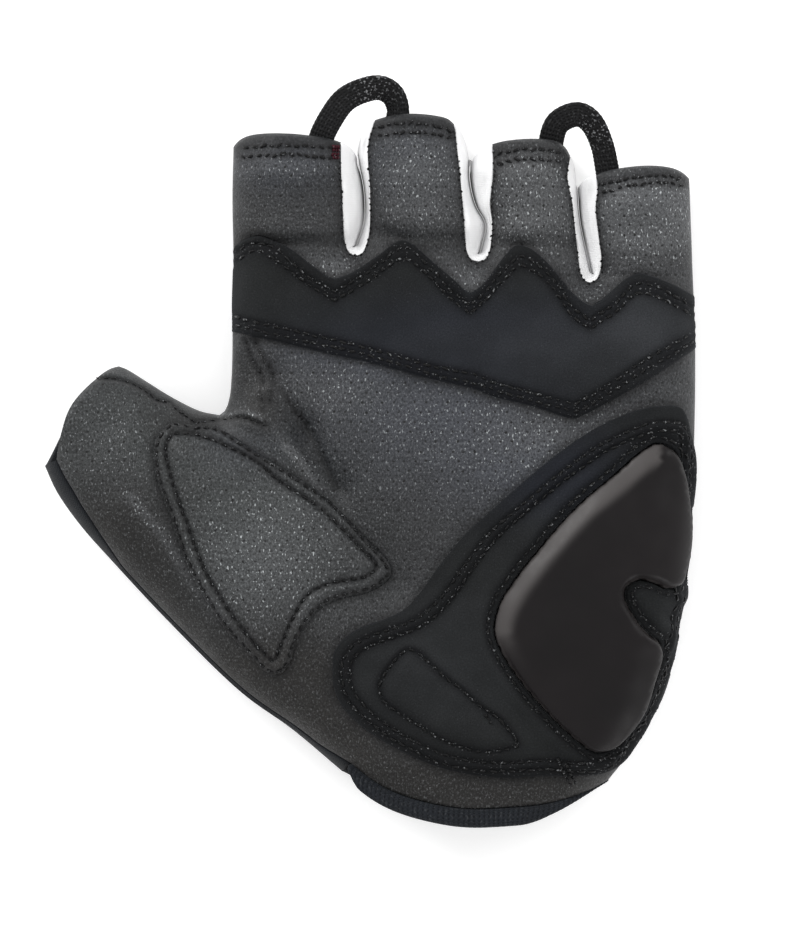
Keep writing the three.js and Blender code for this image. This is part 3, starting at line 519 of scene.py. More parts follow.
def offset_ring(outline, distance):
    """A closed outline moved out by a distance."""
    run = unit(np.roll(outline, -1, axis=0) - np.roll(outline, 1, axis=0))
    x, y = outline[:, 0], outline[:, 1]
    turn = 1.0 if np.sum(x * np.roll(y, -1) - y * np.roll(x, -1)) > 0 else -1.0
    return outline + turn * distance * np.column_stack((run[:, 1], -run[:, 0]))


def smooth_step(value, low, high):
    share = np.clip((value - low) / (high - low), 0, 1)
    return share * share * (3 - 2 * share)


def hump(value, width, centre=0.0):
    """A soft hump that is 1 at its centre."""
    return np.exp(-((value - centre) / width) ** 2)


def circle_angles(count):
    return np.arange(count) * 2 * math.pi / count


def squarer(value, power):
    """A sine or cosine pushed out, for a section between an oval and a box."""
    return np.sign(value) * np.abs(value) ** power


def drawn(points, spacing=0.8, closed=False):
    """A smooth line through points of the pattern sheet."""
    return smooth_line(pattern(points), spacing, closed)


def ripple(points, wavelength, seed, waves=7):
    """Soft uneven waves over the plan, about -1 to 1, the same on every run."""
    chance = np.random.default_rng(seed)
    total = np.zeros(len(points))
    for _ in range(waves):
        turn, phase = chance.uniform(0, math.pi), chance.uniform(0, 2 * math.pi)
        length = wavelength * chance.uniform(0.7, 1.5)
        sweep = points[:, 0] * math.cos(turn) + points[:, 1] * math.sin(turn)
        total += np.sin(2 * math.pi * sweep / length + phase)
    return total / waves ** 0.5


# Side lines of the glove, each with the glove on its left
index_side = drawn(INDEX_SIDE)
thumb_top = drawn(THUMB_TOP)
thumb_mouth = drawn(THUMB_MOUTH)
thumb_lower = drawn(THUMB_LOWER)
little_side = drawn(LITTLE_SIDE)
wrist_line = drawn(WRIST_LINE)
thumb_base = drawn(THUMB_BASE)
slot_lines = [extended(drawn(slot["meeting"]))[1:] for slot in SLOTS]
side_lines = [
    extended(np.vstack((index_side, thumb_top[1:]))),
    extended(thumb_lower),
    extended(little_side)[::-1],
    *slot_lines,
]
hem_lines = [drawn(hem) for hem in HEM_LINES] + [thumb_mouth]
crease_lines = [(drawn(points), width, depth) for points, width, depth in CREASES]
seam_lines = {name: drawn(points, 0.5) for name, points in SEAMS.items()}


def to_sides(points):
    """Distance to the nearest side line and the direction out to it."""
    closest = np.full(len(points), 1e6)
    out = np.zeros((len(points), 2))
    for line in side_lines:
        distance, ahead, _, place = near(points, line, SIDE_ROUND + 1)
        run = at_lengths(line, ahead + 0.3) - at_lengths(line, ahead - 0.3)
        run = unit(run)
        right = np.column_stack((run[:, 1], -run[:, 0]))
        way = np.where((distance > 0.3)[:, None], (place - points) / (distance[:, None] + 1e-9),
                       right)
        nearer = distance < closest
        closest[nearer] = distance[nearer]
        out[nearer] = way[nearer]
    return closest, out


def side_share(points):
    """Quarter round from the side seam up to the full depth."""
    closest = np.full(len(points), 1e6)
    for line in side_lines:
        closest = np.minimum(closest, near(points, line, SIDE_ROUND)[0])
    within = np.minimum(closest, SIDE_ROUND) / SIDE_ROUND
    return np.sqrt(1 - (1 - within) ** 2)


def palm_height(points):
    """Height of the palm side of the glove over its plan."""
    to_palm = smooth_step(-points[:, 1], -PALM_LENGTH, -0.7 * PALM_LENGTH)
    height = FINGER_DEPTH + (PALM_DEPTH - FINGER_DEPTH) * to_palm - SEAM_HEIGHT
    for column, row, half_across, half_along, rise in MOUNDS:
        centre = pattern([(column, row)])[0]
        reach = np.hypot((points[:, 0] - centre[0]) / half_across,
                         (points[:, 1] - centre[1]) / half_along)
        height += rise * 0.5 * (1 + np.cos(math.pi * np.minimum(reach, 1)))
    for start, end, width, depth in FOLDS:
        distance = near(points, pattern([start, end]), 3 * width)[0]
        height -= depth * hump(distance, width)
    for line, width, depth in crease_lines:
        distance, along, _, _ = near(points, line, 3 * width)
        whole = line_lengths(line)[-1]
        fade = smooth_step(along, -0.1, 0.22 * whole)
        fade *= smooth_step(-along, -whole - 0.1, -0.78 * whole)
        height -= depth * hump(distance, width) * (0.25 + 0.75 * fade)
    for line in seam_lines.values():
        distance = near(points, line, 4.0)[0]
        height += LIP_HEIGHT * hump(distance, 0.8, 1.1) - SEAM_DEPTH * hump(distance, 0.42)
    height += 0.16 * ripple(points, 16, 3) + 0.05 * ripple(points, 6, 4)
    top = SEAM_HEIGHT + 0.5 * SEAM_GAP + height * side_share(points)
    for line in hem_lines:
        distance = near(points, line, HEM_ROUND)[0]
        top -= 0.9 * HEM_ROUND * (1 - rounded_edge(distance, HEM_ROUND))
    return top


def rounded_edge(depth, radius):
    """A quarter round that starts at an edge."""
    edge = np.clip(1 - depth / radius, 0, 1)
    return np.sqrt(1 - edge ** 2)


def back_height(points):
    return (SEAM_HEIGHT - 0.5 * SEAM_GAP) * (1 - side_share(points))


def palm_frame(points):
    """Palm points in space and the normals there."""
    step = 0.25
    height = palm_height(points)
    over = palm_height(points + (step, 0)) - palm_height(points - (step, 0))
    ahead = palm_height(points + (0, step)) - palm_height(points - (0, step))
    slope = np.clip(np.column_stack((over, ahead)) / (2 * step), -2.2, 2.2)
    normal = np.column_stack((-slope, np.ones(len(points))))
    normal = unit(normal, 0.0)
    return np.column_stack((points, height)), normal


def unrolled(points):
    """Plan points with the side rounds laid out flat, for patterns that keep their pitch."""
    distance, out = to_sides(points)
    gone = SIDE_ROUND - np.minimum(distance, SIDE_ROUND)
    arc = SIDE_ROUND * np.arcsin(np.clip(gone / SIDE_ROUND, 0, 1))
    return points + out * (arc - gone)[:, None]


# Plan of the panels

def gathered_steps(count, pull=0.55):
    """Shares from 0 to 1 that lie closer together at both ends."""
    even = np.linspace(0, 1, count + 1)
    return (1 - pull) * even + pull * 0.5 * (1 - np.cos(math.pi * even))


def line_between(line):
    """The column of a falling side line, as a function of height."""
    order = np.argsort(line[:, 1])
    return lambda y: np.interp(y, line[order, 1], line[order, 0])


def slot_edge(slot, side):
    return resample(drawn(SLOTS[slot][side]), FINGER_ROWS)


def outer_edge(inner, crotch, corner, side_line):
    """Points of a side line level with the rows of the slot edge opposite."""
    low, high = pattern([crotch, corner])
    share = (inner[:, 1] - inner[0, 1]) / (inner[-1, 1] - inner[0, 1])
    y = low[1] + (high[1] - low[1]) * share
    return np.column_stack((line_between(extended(side_line))(y), y))


def finger_plan(finger):
    """Rows of plan points of one finger, from the crotches to the hem."""
    if finger == 0:
        right = slot_edge(0, "left")
        left = outer_edge(right, CROTCH_ENDS[0], HEM_CORNERS[0], index_side)
    elif finger == 3:
        left = slot_edge(2, "right")
        right = outer_edge(left, CROTCH_ENDS[1], HEM_CORNERS[1], little_side)
    else:
        left, right = slot_edge(finger - 1, "right"), slot_edge(finger, "left")
    hem = hem_lines[finger]
    over = gathered_steps(FINGER_COLUMNS)
    hem_row = at_lengths(hem, over * line_lengths(hem)[-1])
    arch = hem_row - left[-1] - (right[-1] - left[-1]) * over[:, None]
    rows = []
    for row in range(FINGER_ROWS + 1):
        line = left[row] + (right[row] - left[row]) * over[:, None]
        rows.append(line + arch * (row / FINGER_ROWS) ** 2.5)
    return np.array(rows)


finger_plans = [finger_plan(finger) for finger in range(4)]


def fill_plan(top, bottom, left, right, over, down):
    """Plan points between four edges that share their corners, at shares across and down."""
    over, down = over[None, :, None], down[:, None, None]
    return (
        (1 - down) * top[None] + down * bottom[None]
        + (1 - over) * left[:, None] + over * right[:, None]
        - (1 - over) * (1 - down) * top[0] - over * (1 - down) * top[-1]
        - (1 - over) * down * bottom[0] - over * down * bottom[-1]
    )


def wrap_width(share):
    table = np.array(WRAP_TABLE)
    return np.interp(share, table[:, 0], table[:, 1]) * WRAP_WIDTH


def thumb_edge(width_of):
    """The lower thumb edge moved inwards, from the wrist corner to the thumb mouth."""
    share = np.linspace(0, 1, THUMB_COLUMNS + 1)
    whole = line_lengths(thumb_lower)[-1]
    point = at_lengths(thumb_lower, (1 - share) * whole)
    ahead = at_lengths(thumb_lower, (1.01 - share) * whole)
    run = unit(ahead - at_lengths(thumb_lower, (0.99 - share) * whole), 0.0)
    return point + np.column_stack((-run[:, 1], run[:, 0])) * width_of(share)[:, None]


def hand_plan(edge):
    """Plan rows of the palm and of the thumb, with the lower thumb edge given."""
    top = np.vstack([plan[0][min(number, 1):] for number, plan in enumerate(finger_plans)])
    shift = edge[0] - wrist_line[0]
    share = (top[:, 0] - top[0, 0]) / (top[-1, 0] - top[0, 0])
    wrist = at_lengths(wrist_line, share * line_lengths(wrist_line)[-1])
    wrist = wrist + shift * ((1 - share) ** 4)[:, None]
    upper = np.vstack((top[:1], index_side[index_side[:, 1] < top[0, 1]]))
    upper = resample(upper, UPPER_PALM_ROWS)
    down = gathered_steps(LOWER_PALM_ROWS, 0.35)
    lower = at_lengths(thumb_base, down * line_lengths(thumb_base)[-1])
    lower = lower + shift * (np.linspace(0, 1, len(lower)) ** 4)[:, None]
    left = np.vstack((upper[:-1], lower))
    little = np.vstack((top[-1:], little_side[little_side[:, 1] < top[-1, 1]]))
    right = resample(little, len(left) - 1)
    palm = fill_plan(top, wrist, left, right, share, np.linspace(0, 1, len(left)))
    mouth = at_lengths(thumb_mouth, down * line_lengths(thumb_mouth)[-1])
    mouth = mouth + (edge[-1] - thumb_mouth[-1]) * (down ** 3)[:, None]
    out = np.linspace(0, 1, THUMB_COLUMNS + 1)
    thumb = fill_plan(resample(thumb_top, THUMB_COLUMNS), edge, lower, mouth, out, down)
    return palm, thumb


# From pattern millimetres to the frame

def frame_shift():
    low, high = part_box("back_panel")
    return np.array((
        low.x * 1000 - pattern(THUMB_MOUTH[-1:])[0][0],
        high.y * 1000 - max(plan[-1, :, 1].max() for plan in finger_plans),
        low.z * 1000,
    ))


SHIFT = frame_shift()


def in_frame(points):
    return (np.asarray(points, float) + SHIFT) * 0.001


class Skin:
    """Points, faces and flat pattern coordinates of one open surface."""

    def __init__(self):
        self.points, self.flat, self.faces = [], [], []
        self.count = 0

    def add_faces(self, space, flat, faces):
        self.points.append(space)
        self.flat.append(flat)
        self.faces.append(np.asarray(faces) + self.count)
        self.count += len(space)

    def add_grid(self, space, flat, flip=False, closed=False):
        rows, columns = space.shape[:2]
        number = np.arange(rows * columns).reshape(rows, columns)
        if closed:
            number = np.concatenate((number, number[:, :1]), axis=1)
        a, b = number[:-1, :-1], number[:-1, 1:]
        c, d = number[1:, 1:], number[1:, :-1]
        quads = (a, b, c, d) if flip else (a, d, c, b)
        faces = np.stack(quads, axis=-1).reshape(-1, 4)
        self.add_faces(space.reshape(-1, 3), flat.reshape(-1, 2), faces)

    def add_plan(self, plan, heights, flip):
        """A grid of plan points, raised by a function of the plan or by given heights."""
        points = plan.reshape(-1, 2)
        if callable(heights):
            heights = heights(points)
        space = np.column_stack((points, heights)).reshape(*plan.shape[:2], 3)
        self.add_grid(space, unrolled(points).reshape(*plan.shape[:2], 2), flip)

    def build(self, name, marks=None, merge=0.0):
        return build_object(name, np.vstack(self.points), self.faces, np.vstack(self.flat),
                            marks, merge)


def build_object(name, points, faces, flat, marks=None, merge=0.0):
    """A smooth mesh object from points in pattern millimetres."""
    mesh = bpy.data.meshes.new(name)
    polygons = [face for group in faces for face in np.asarray(group).tolist()]
    mesh.from_pydata(in_frame(points).tolist(), [], polygons)
    mesh.update()
    layer = mesh.uv_layers.new(name="cut")
    corner = np.zeros(len(mesh.loops), np.int32)
    mesh.loops.foreach_get("vertex_index", corner)
    layer.data.foreach_set("uv", (flat[corner] * 0.001).astype(np.float32).ravel())
    for title, values in (marks or {}).items():
        mark = mesh.attributes.new(title, "FLOAT", "POINT")
        mark.data.foreach_set("value", np.asarray(values, np.float32))
    mesh.polygons.foreach_set("use_smooth", [True] * len(mesh.polygons))
    piece = bpy.data.objects.new(name, mesh)
    bpy.context.scene.collection.objects.link(piece)
    if merge:
        weld = piece.modifiers.new("weld", "WELD")
        weld.merge_threshold = merge * 0.001
        apply_modifiers(piece)
    return piece


def apply_modifiers(piece):
    bpy.context.view_layer.update()
    evaluated = piece.evaluated_get(bpy.context.evaluated_depsgraph_get())
    mesh = bpy.data.meshes.new_from_object(evaluated)
    old = piece.data
    piece.modifiers.clear()
    piece.data = mesh
    mesh.name = old.name
    bpy.data.meshes.remove(old)


def thicken(piece, wall):
    solid = piece.modifiers.new("wall", "SOLIDIFY")
    solid.thickness = wall * 0.001
    solid.offset = -1
    solid.use_rim = True
    solid.use_even_offset = False
    apply_modifiers(piece)
    piece.data.polygons.foreach_set("use_smooth", [True] * len(piece.data.polygons))


MATERIALS = {}


def finish(piece, key, maker):
    """Gives a piece its finish; a finish is made once."""
    if key not in MATERIALS:
        MATERIALS[key] = maker(key)
    piece.data.materials.clear()
    piece.data.materials.append(MATERIALS[key])


def settle(piece, node):
    """Puts a piece on the glove in the place of a node."""
    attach(piece, "root")
    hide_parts(node)


# Relief of the sewn patches

def patch_points(outline, guides):
    """Plan points for a patch: its outline, rings along its seams, then the field."""
    kept = [tuple(point) for point in outline]
    cells = {}
    for x, y in kept:
        cells.setdefault((int(x // PATCH_LEAST), int(y // PATCH_LEAST)), []).append((x, y))

    def offer(candidates):
        within = depth_inside(candidates, outline) > PATCH_LEAST * 0.6
        for x, y in candidates[within]:
            i, j = int(x // PATCH_LEAST), int(y // PATCH_LEAST)
            close = (
                (x - ax) ** 2 + (y - ay) ** 2 < PATCH_LEAST * PATCH_LEAST * 0.8
                for di in (-1, 0, 1) for dj in (-1, 0, 1)
                for ax, ay in cells.get((i + di, j + dj), ())
            )
            if not any(close):
                cells.setdefault((i, j), []).append((x, y))
                kept.append((x, y))

    ring_steps = int(line_lengths(closed_ring(outline))[-1] / 0.6)
    for distance in PATCH_RINGS:
        offer(resample(closed_ring(offset_ring(outline, distance)), ring_steps))
    for line in guides:
        even = resample(line, max(2, int(line_lengths(line)[-1] / 0.55)))
        run = unit(np.gradient(even, axis=0))
        across = np.column_stack((-run[:, 1], run[:, 0]))
        for distance in GUIDE_OFFSETS:
            offer(even + across * distance)
    low, high = outline.min(0), outline.max(0)
    x, y = np.meshgrid(np.arange(low[0], high[0], PATCH_FIELD),
                       np.arange(low[1], high[1], PATCH_FIELD * 0.866))
    x[1::2] += PATCH_FIELD / 2
    offer(np.column_stack((x.ravel(), y.ravel())))
    return np.array(kept)


def groove(points, line, width=0.5, depth=0.32, pitch=None):
    """A sewn groove, pulled deeper at each stitch hole."""
    distance, along, _, _ = near(points, line, 3.5 * width)
    pull = 0.78 + 0.22 * np.cos(2 * math.pi * along / pitch) if pitch else 1.0
    return depth * hump(distance, width) * pull


def triangulate(points, outline_count, outline, holes=()):
    """Faces between plan points that keep the outline and leave the holes open."""
    edges = [(i, (i + 1) % outline_count) for i in range(outline_count)]
    start = outline_count
    for hole in holes:
        edges += [(start + i, start + (i + 1) % len(hole)) for i in range(len(hole))]
        start += len(hole)
    result = delaunay_2d_cdt([Vector(point) for point in points], edges, [], 0, 1e-6)
    plan = np.array([tuple(vertex) for vertex in result[0]])
    faces = np.array(result[2])
    middle = plan[faces].mean(1)
    keep = inside(middle, outline)
    for hole in holes:
        keep &= ~inside(middle, hole)
    faces = faces[keep]
    a, b, c = plan[faces[:, 0]], plan[faces[:, 1]], plan[faces[:, 2]]
    turned = (b[:, 0] - a[:, 0]) * (c[:, 1] - a[:, 1]) - (b[:, 1] - a[:, 1]) * (c[:, 0] - a[:, 0])
    faces[turned < 0] = faces[turned < 0][:, ::-1]
    return plan, faces


band_top = drawn(KNUCKLE_TOP, EDGE_SPACING)
band_bottom = drawn(KNUCKLE_BOTTOM, EDGE_SPACING)
band_rows = [drawn(row, STITCH_SPACING) for row in KNUCKLE_ROWS]
heel_outline = drawn(HEEL_EDGE, EDGE_SPACING, closed=True)
heel_row = drawn(HEEL_ROW, STITCH_SPACING, closed=True)
oval_row = drawn(OVAL_ROW, STITCH_SPACING, closed=True)
gel_outline = drawn(GEL_EDGE, 0.5, closed=True)
thumb_row = drawn(THUMB_ROW, STITCH_SPACING, closed=True)
thumb_inner_row = drawn(THUMB_INNER_ROW, STITCH_SPACING, closed=True)
thumb_outline = offset_ring(thumb_row, 0.75)
heel_inner_row = offset_ring(heel_row, -HEEL_ROW_GAP)
gel_row = offset_ring(gel_outline, GEL_ROW_GAP)
band_inner_row = smooth_line(pattern(KNUCKLE_ROWS[0]) - (0, KNUCKLE_INNER_ROW), STITCH_SPACING)


def band_outline():
    """The band with its ends on the two side lines."""
    left_x = line_between(extended(index_side))
    right_x = line_between(extended(little_side))

    def between(line):
        return line[(line[:, 0] > left_x(line[:, 1])) & (line[:, 0] < right_x(line[:, 1]))]

    top, low = between(band_top), between(band_bottom)
    right_y = np.arange(top[-1, 1], low[0, 1], -EDGE_SPACING)
    left_y = np.arange(low[-1, 1], top[0, 1], EDGE_SPACING)
    right = np.column_stack((right_x(right_y) - 0.02, right_y))
    left = np.column_stack((left_x(left_y) + 0.02, left_y))
    return np.vstack((top[1:-1], right, low[1:-1], left))


band_edge = band_outline()
band_guides = [*band_rows, band_inner_row]
heel_guides = [closed_ring(row) for row in (heel_row, heel_inner_row, oval_row, gel_row)]
thumb_guides = [closed_ring(row) for row in (thumb_row, thumb_inner_row)]


# How far the face of each patch stands off the palm leather, in millimetres

def band_relief(points):
    depth = np.abs(depth_inside(points, band_edge))
    flush = smooth_step(to_sides(points)[0], 0.0, 5.0)
    body = (BAND_SIDE_HEIGHT + PATCH_RISE * flush) * rounded_edge(np.maximum(depth, 0.02), PATCH_ROUND)
    for row in band_guides:
        body -= groove(points, row, pitch=STITCH_PITCH)
    body += BAND_SWELL * smooth_step(depth, 1.5, 9.0) * flush
    body += 0.07 * ripple(points, 9, 21) * smooth_step(depth, 0.5, 3.0)
    return body + 0.12


def heel_relief(points):
    depth = np.abs(depth_inside(points, heel_outline))
    flush = smooth_step(to_sides(points)[0], 0.0, 4.0)
    body = (HEEL_SIDE_HEIGHT + PATCH_RISE * flush) * rounded_edge(depth, PATCH_ROUND)
    between = depth_inside(points, heel_row)
    body += ROW_SWELL * hump(between, 0.55, 0.5 * HEEL_ROW_GAP) * flush
    body += HEEL_SWELL * smooth_step(between, 2.0, 5.5)
    oval = depth_inside(points, oval_row)
    body += OVAL_SWELL * smooth_step(oval, 0.0, 3.0) + OVAL_LIP * hump(oval, 0.8, -1.0)
    gel = -depth_inside(points, gel_outline)
    body += GEL_COLLAR * hump(gel, 1.5, 2.9) - GEL_GAP * hump(gel, 0.6)
    for row in heel_guides:
        body -= groove(points, row, pitch=STITCH_PITCH)
    body += 0.09 * ripple(points, 8, 22) * smooth_step(depth, 0.5, 3.0)
    return body + 0.1


def thumb_relief(points):
    depth = np.abs(depth_inside(points, thumb_outline))
    body = THUMB_HEIGHT * rounded_edge(depth, THUMB_ROUND)
    inner = depth_inside(points, thumb_inner_row)
    outer = depth_inside(points, thumb_row)
    body += 0.5 * hump(0.5 * (outer - np.abs(inner)), 0.7) * (inner < 0)
    body += THUMB_SWELL * (1 - np.exp(-np.maximum(inner, 0) / THUMB_SWELL_REACH))
    for row, sunk in zip(thumb_guides, THUMB_GROOVES):
        body -= groove(points, row, depth=sunk, pitch=STITCH_PITCH)
    body += 0.12 * ripple(points, 11, 23) * smooth_step(inner, 0.5, 4.0)
    return body + 0.08


def gel_relief(points):
    depth = np.abs(depth_inside(points, gel_outline))
    bevel = GEL_BEVEL * (0.45 + 1.15 * gel_facing(points))
    ramp = np.clip(depth / bevel, 0, 1)
    body = GEL_BASE + GEL_RISE * (ramp * (2 - ramp)) ** 1.15
    body -= GEL_BASE * (1 - rounded_edge(depth, GEL_ROUND))
    return body + 0.05 * ripple(points, 18, 24)


def gel_facing(points):
    """How far the nearest edge of the gel pad faces the thumb, 0 to 1. The bevel is wide
    on that side."""
    distance, _, _, place = nearest(points, closed_ring(gel_outline))
    out = place - points
    out[~inside(points, gel_outline)] *= -1
    out /= distance[:, None] + 1e-6
    return smooth_step((out * GEL_LIT_WAY).sum(1), 0.1, 0.8)


def gel_shine(points):
    """Where the gel pad looks lighter: its wide bevel and the lip all round."""
    depth = np.abs(depth_inside(points, gel_outline))
    facing = gel_facing(points)
    wide = (1 - smooth_step(depth, 2.6, 6.2)) * facing * smooth_step(depth, 0.0, 0.5)
    return 0.8 * wide + 0.65 * hump(depth, 0.28, 0.35) * (1 - facing)


RELIEFS = {"knuckle_band": band_relief, "heel_patch": heel_relief, "thumb_patch": thumb_relief,
           "gel_pad": gel_relief}


def on_patch(node):
    """Raises plan points to the face of a patch and gives the normals of the palm there."""
    def surface(points):
        base, normal = palm_frame(points)
        return base + normal * RELIEFS[node](points)[:, None], normal
    return surface


def build_patch(name, node, outline, guides, wall, holes=()):
    """A sewn patch that follows the palm with its own relief."""
    plan = patch_points(outline, guides)
    for hole in holes:
        extra = plan[len(outline):]
        extra = extra[depth_inside(extra, hole) < -0.2]
        plan = np.vstack((plan[:len(outline)], hole, extra))
    plan, faces = triangulate(plan, len(outline), outline, holes)
    suede = node in {"knuckle_band", "heel_patch"}
    # Painted shade along the stitch rows, and on suede along the edge of the patch.
    cavity_shade = np.zeros(len(plan))
    for line in guides:
        cavity_shade += groove(plan, line, 1.1 if suede else 0.75, 1.0)
    if suede:
        cavity_shade += 0.55 * hump(depth_inside(plan, outline), 1.5)
    marks = {"cavity_shade": np.clip(cavity_shade, 0, 1), **tones(plan)}
    if node == "gel_pad":
        marks["shine"] = gel_shine(plan)
    piece = build_object(name, on_patch(node)(plan)[0], [faces], unrolled(plan), marks)
    thicken(piece, wall)
    return piece


def tones(points):
    """Slow changes of colour and painted light and shade over the glove, one mark for each name of the
    table.
    """
    marks = {}
    for name, spots in TONES.items():
        total = np.zeros(len(points))
        for column, row, wide, high, share in spots:
            centre = pattern([(column, row)])[0]
            reach = ((points[:, 0] - centre[0]) / wide) ** 2
            total += share * np.exp(-reach - ((points[:, 1] - centre[1]) / high) ** 2)
        marks[name] = total
    for path, width, share in SHINY_RIDGES:
        distance = near(points, drawn(path), 3 * width)[0]
        marks["light"] += share * hump(distance, width)
    return {name: np.clip(total, 0, 1.25) for name, total in marks.items()}


# Stitches

def add_stitches(skin, line, surface, pitch=STITCH_PITCH, thread=0.5, share=0.8, sink=0.2,
                 seed=1, stray=0.12):
    """Short rounded threads along a plan line; surface raises plan points."""
    whole = line_lengths(line)[-1]
    count = max(1, int(round(whole / pitch)))
    step = whole / count
    chance = np.random.default_rng(seed)
    middle = (np.arange(count) + 0.5 + chance.normal(0, 0.06, count)) * step
    middle = middle[to_sides(at_lengths(line, middle))[0] > SIDE_CLEAR]
    count = len(middle)
    size = chance.normal(1, 0.12, count)[:, None]
    rings = np.linspace(-1, 1, THREAD_RINGS)
    along = middle[:, None] + rings * 0.5 * share * step * size
    spots = at_lengths(line, np.clip(along.ravel(), 0, whole)).reshape(count, -1, 2)
    run = unit(spots[:, -1] - spots[:, 0])
    across = np.column_stack((-run[:, 1], run[:, 0]))
    skew = chance.normal(0, stray, count)[:, None] * rings
    skew += chance.normal(0, 0.5 * stray, (count, 1))
    spots = spots + across[:, None] * skew[..., None]
    base, normal = surface(spots.reshape(-1, 2))
    base, normal = base.reshape(count, -1, 3), normal.reshape(count, -1, 3)
    flat_run = np.column_stack((run, np.zeros(count)))[:, None]
    side = unit(np.cross(normal, np.broadcast_to(flat_run, normal.shape)))
    bow = (0.5 * thread * 0.75 - (sink + 0.35 * thread) * np.abs(rings) ** 3)[None, :, None]
    centre = base + normal * bow
    radius = (0.5 * thread * size * np.sqrt(np.clip(1.02 - rings ** 4, 0.02, 1)))[..., None]
    turn = circle_angles(THREAD_SIDES)[None, None, :, None]
    circle = (centre[:, :, None] + radius[:, :, None] * (
        side[:, :, None] * np.cos(turn) + normal[:, :, None] * 0.8 * np.sin(turn)))
    ring_count = count * THREAD_RINGS
    number = np.arange(ring_count * THREAD_SIDES).reshape(count, THREAD_RINGS, THREAD_SIDES)
    ahead = np.roll(number, -1, axis=2)
    quads = np.stack((number[:, :-1], ahead[:, :-1], ahead[:, 1:], number[:, 1:]), axis=-1)
    flat = np.column_stack((np.repeat(np.arange(ring_count) % THREAD_RINGS, THREAD_SIDES) * 0.4,
                            np.tile(np.arange(THREAD_SIDES), ring_count) * 0.3))
    skin.add_faces(circle.reshape(-1, 3), flat, quads.reshape(-1, 4))


def stitch_object(name, rows, key, maker, **settings):
    """Rows of stitches as one piece. Each row: line, surface, seed."""
    skin = Skin()
    for line, surface, seed in rows:
        add_stitches(skin, line, surface, seed=seed, **settings)
    piece = skin.build(name)
    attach(piece, "root")
    finish(piece, key, maker)


# Materials

class Maker:
    """Short calls for placing shader nodes in one tree."""

    def __init__(self, tree):
        self.tree = tree

    def add(self, kind, inputs=None, **settings):
        node = self.tree.nodes.new(kind)
        for key, value in settings.items():
            setattr(node, key, value)
        for socket, value in (inputs or {}).items():
            target = node.inputs[socket]
            if isinstance(value, bpy.types.NodeSocket):
                self.tree.links.new(value, target)
            else:
                target.default_value = value
        return node

    def sum(self, operation, first, second=0.0, third=0.0, clamp=False):
        inputs = {0: first, 1: second}
        if operation == "MULTIPLY_ADD":
            inputs[2] = third
        return self.add("ShaderNodeMath", inputs, operation=operation, use_clamp=clamp).outputs[0]

    def blend(self, factor, first, second, mode="MIX"):
        node = self.add("ShaderNodeMix", {0: factor, 6: first, 7: second}, data_type="RGBA",
                        blend_type=mode)
        return node.outputs[2]

    def window(self, value, low, high, start=0.0, end=1.0):
        node = self.add("ShaderNodeMapRange", {"Value": value, "From Min": low, "From Max": high,
                                               "To Min": start, "To Max": end},
                        interpolation_type="SMOOTHSTEP")
        return node.outputs[0]

    def noise(self, vector, scale, detail=2.0, roughness=0.5, distortion=0.0):
        return self.add("ShaderNodeTexNoise", {"Vector": vector, "Scale": scale, "Detail": detail,
                                               "Roughness": roughness, "Distortion": distortion})

    def scaled(self, vector, factor):
        return self.add("ShaderNodeVectorMath", {0: vector, 1: factor}, operation="MULTIPLY").outputs[0]

    def shifted(self, vector, offset):
        return self.add("ShaderNodeVectorMath", {0: vector, 1: offset}, operation="ADD").outputs[0]

    def mark(self, name):
        return self.add("ShaderNodeAttribute", attribute_name=name).outputs["Fac"]

    def flat(self):
        """Pattern coordinates in millimetres."""
        return self.scaled(self.add("ShaderNodeUVMap", uv_map="cut").outputs[0], (1000, 1000, 1000))

    def place(self):
        """Object coordinates in millimetres."""
        return self.scaled(self.add("ShaderNodeTexCoord").outputs["Object"], (1000, 1000, 1000))

    def put_out(self, results):
        """Joins the results of a group to its output."""
        leave = self.add("NodeGroupOutput")
        for title, value in results.items():
            self.tree.links.new(value, leave.inputs[title])

    def dress(self, shader, base, rough, relief, strength):
        """Joins colour, roughness and relief (mm) to the shader."""
        bump = self.add("ShaderNodeBump", {"Height": relief, "Strength": strength,
                                           "Distance": 0.001})
        self.tree.links.new(base, shader.inputs["Base Color"])
        self.tree.links.new(rough, shader.inputs["Roughness"])
        self.tree.links.new(bump.outputs[0], shader.inputs["Normal"])


# Shades of the finishes that have no setting in the panel. The near-black ones are painted shade in
# holes and hollows; the light greys are painted glints, highlights and lit colours, all but the suede
# speck grey.
HOLE_SHADE_COLOUR = (0.002, 0.002, 0.002, 1)
PAINTED_SHADE_COLOUR = (0.002, 0.002, 0.0025, 1)
KNIT_SHADE_COLOUR = (0.004, 0.004, 0.0045, 1)
GLINT = (0.4, 0.42, 0.43, 1)
FLUFF_GLINT_GREY = (0.2, 0.205, 0.21, 1)
THREAD_GLINT = (0.3, 0.31, 0.32, 1)
LEATHER_LIT = (0.085, 0.088, 0.092, 1)
LEATHER_CREST_HIGHLIGHT = (0.165, 0.172, 0.178, 1)
SUEDE_LIT = (0.036, 0.038, 0.042, 1)
SUEDE_SPECK = (0.06, 0.064, 0.072, 1)
GEL_LIT = (0.066, 0.061, 0.06, 1)


def new_group(name, inputs, outputs):
    tree = bpy.data.node_groups.new(name, "ShaderNodeTree")
    for title, kind, value in inputs:
        socket = tree.interface.new_socket(title, in_out="INPUT", socket_type=kind)
        if value is not None:
            socket.default_value = value
    for title, kind in outputs:
        tree.interface.new_socket(title, in_out="OUTPUT", socket_type=kind)
    entry = tree.nodes.new("NodeGroupInput")
    return tree, Maker(tree), entry.outputs


FLOAT, VECTOR, COLOUR = "NodeSocketFloat", "NodeSocketVector", "NodeSocketColor"


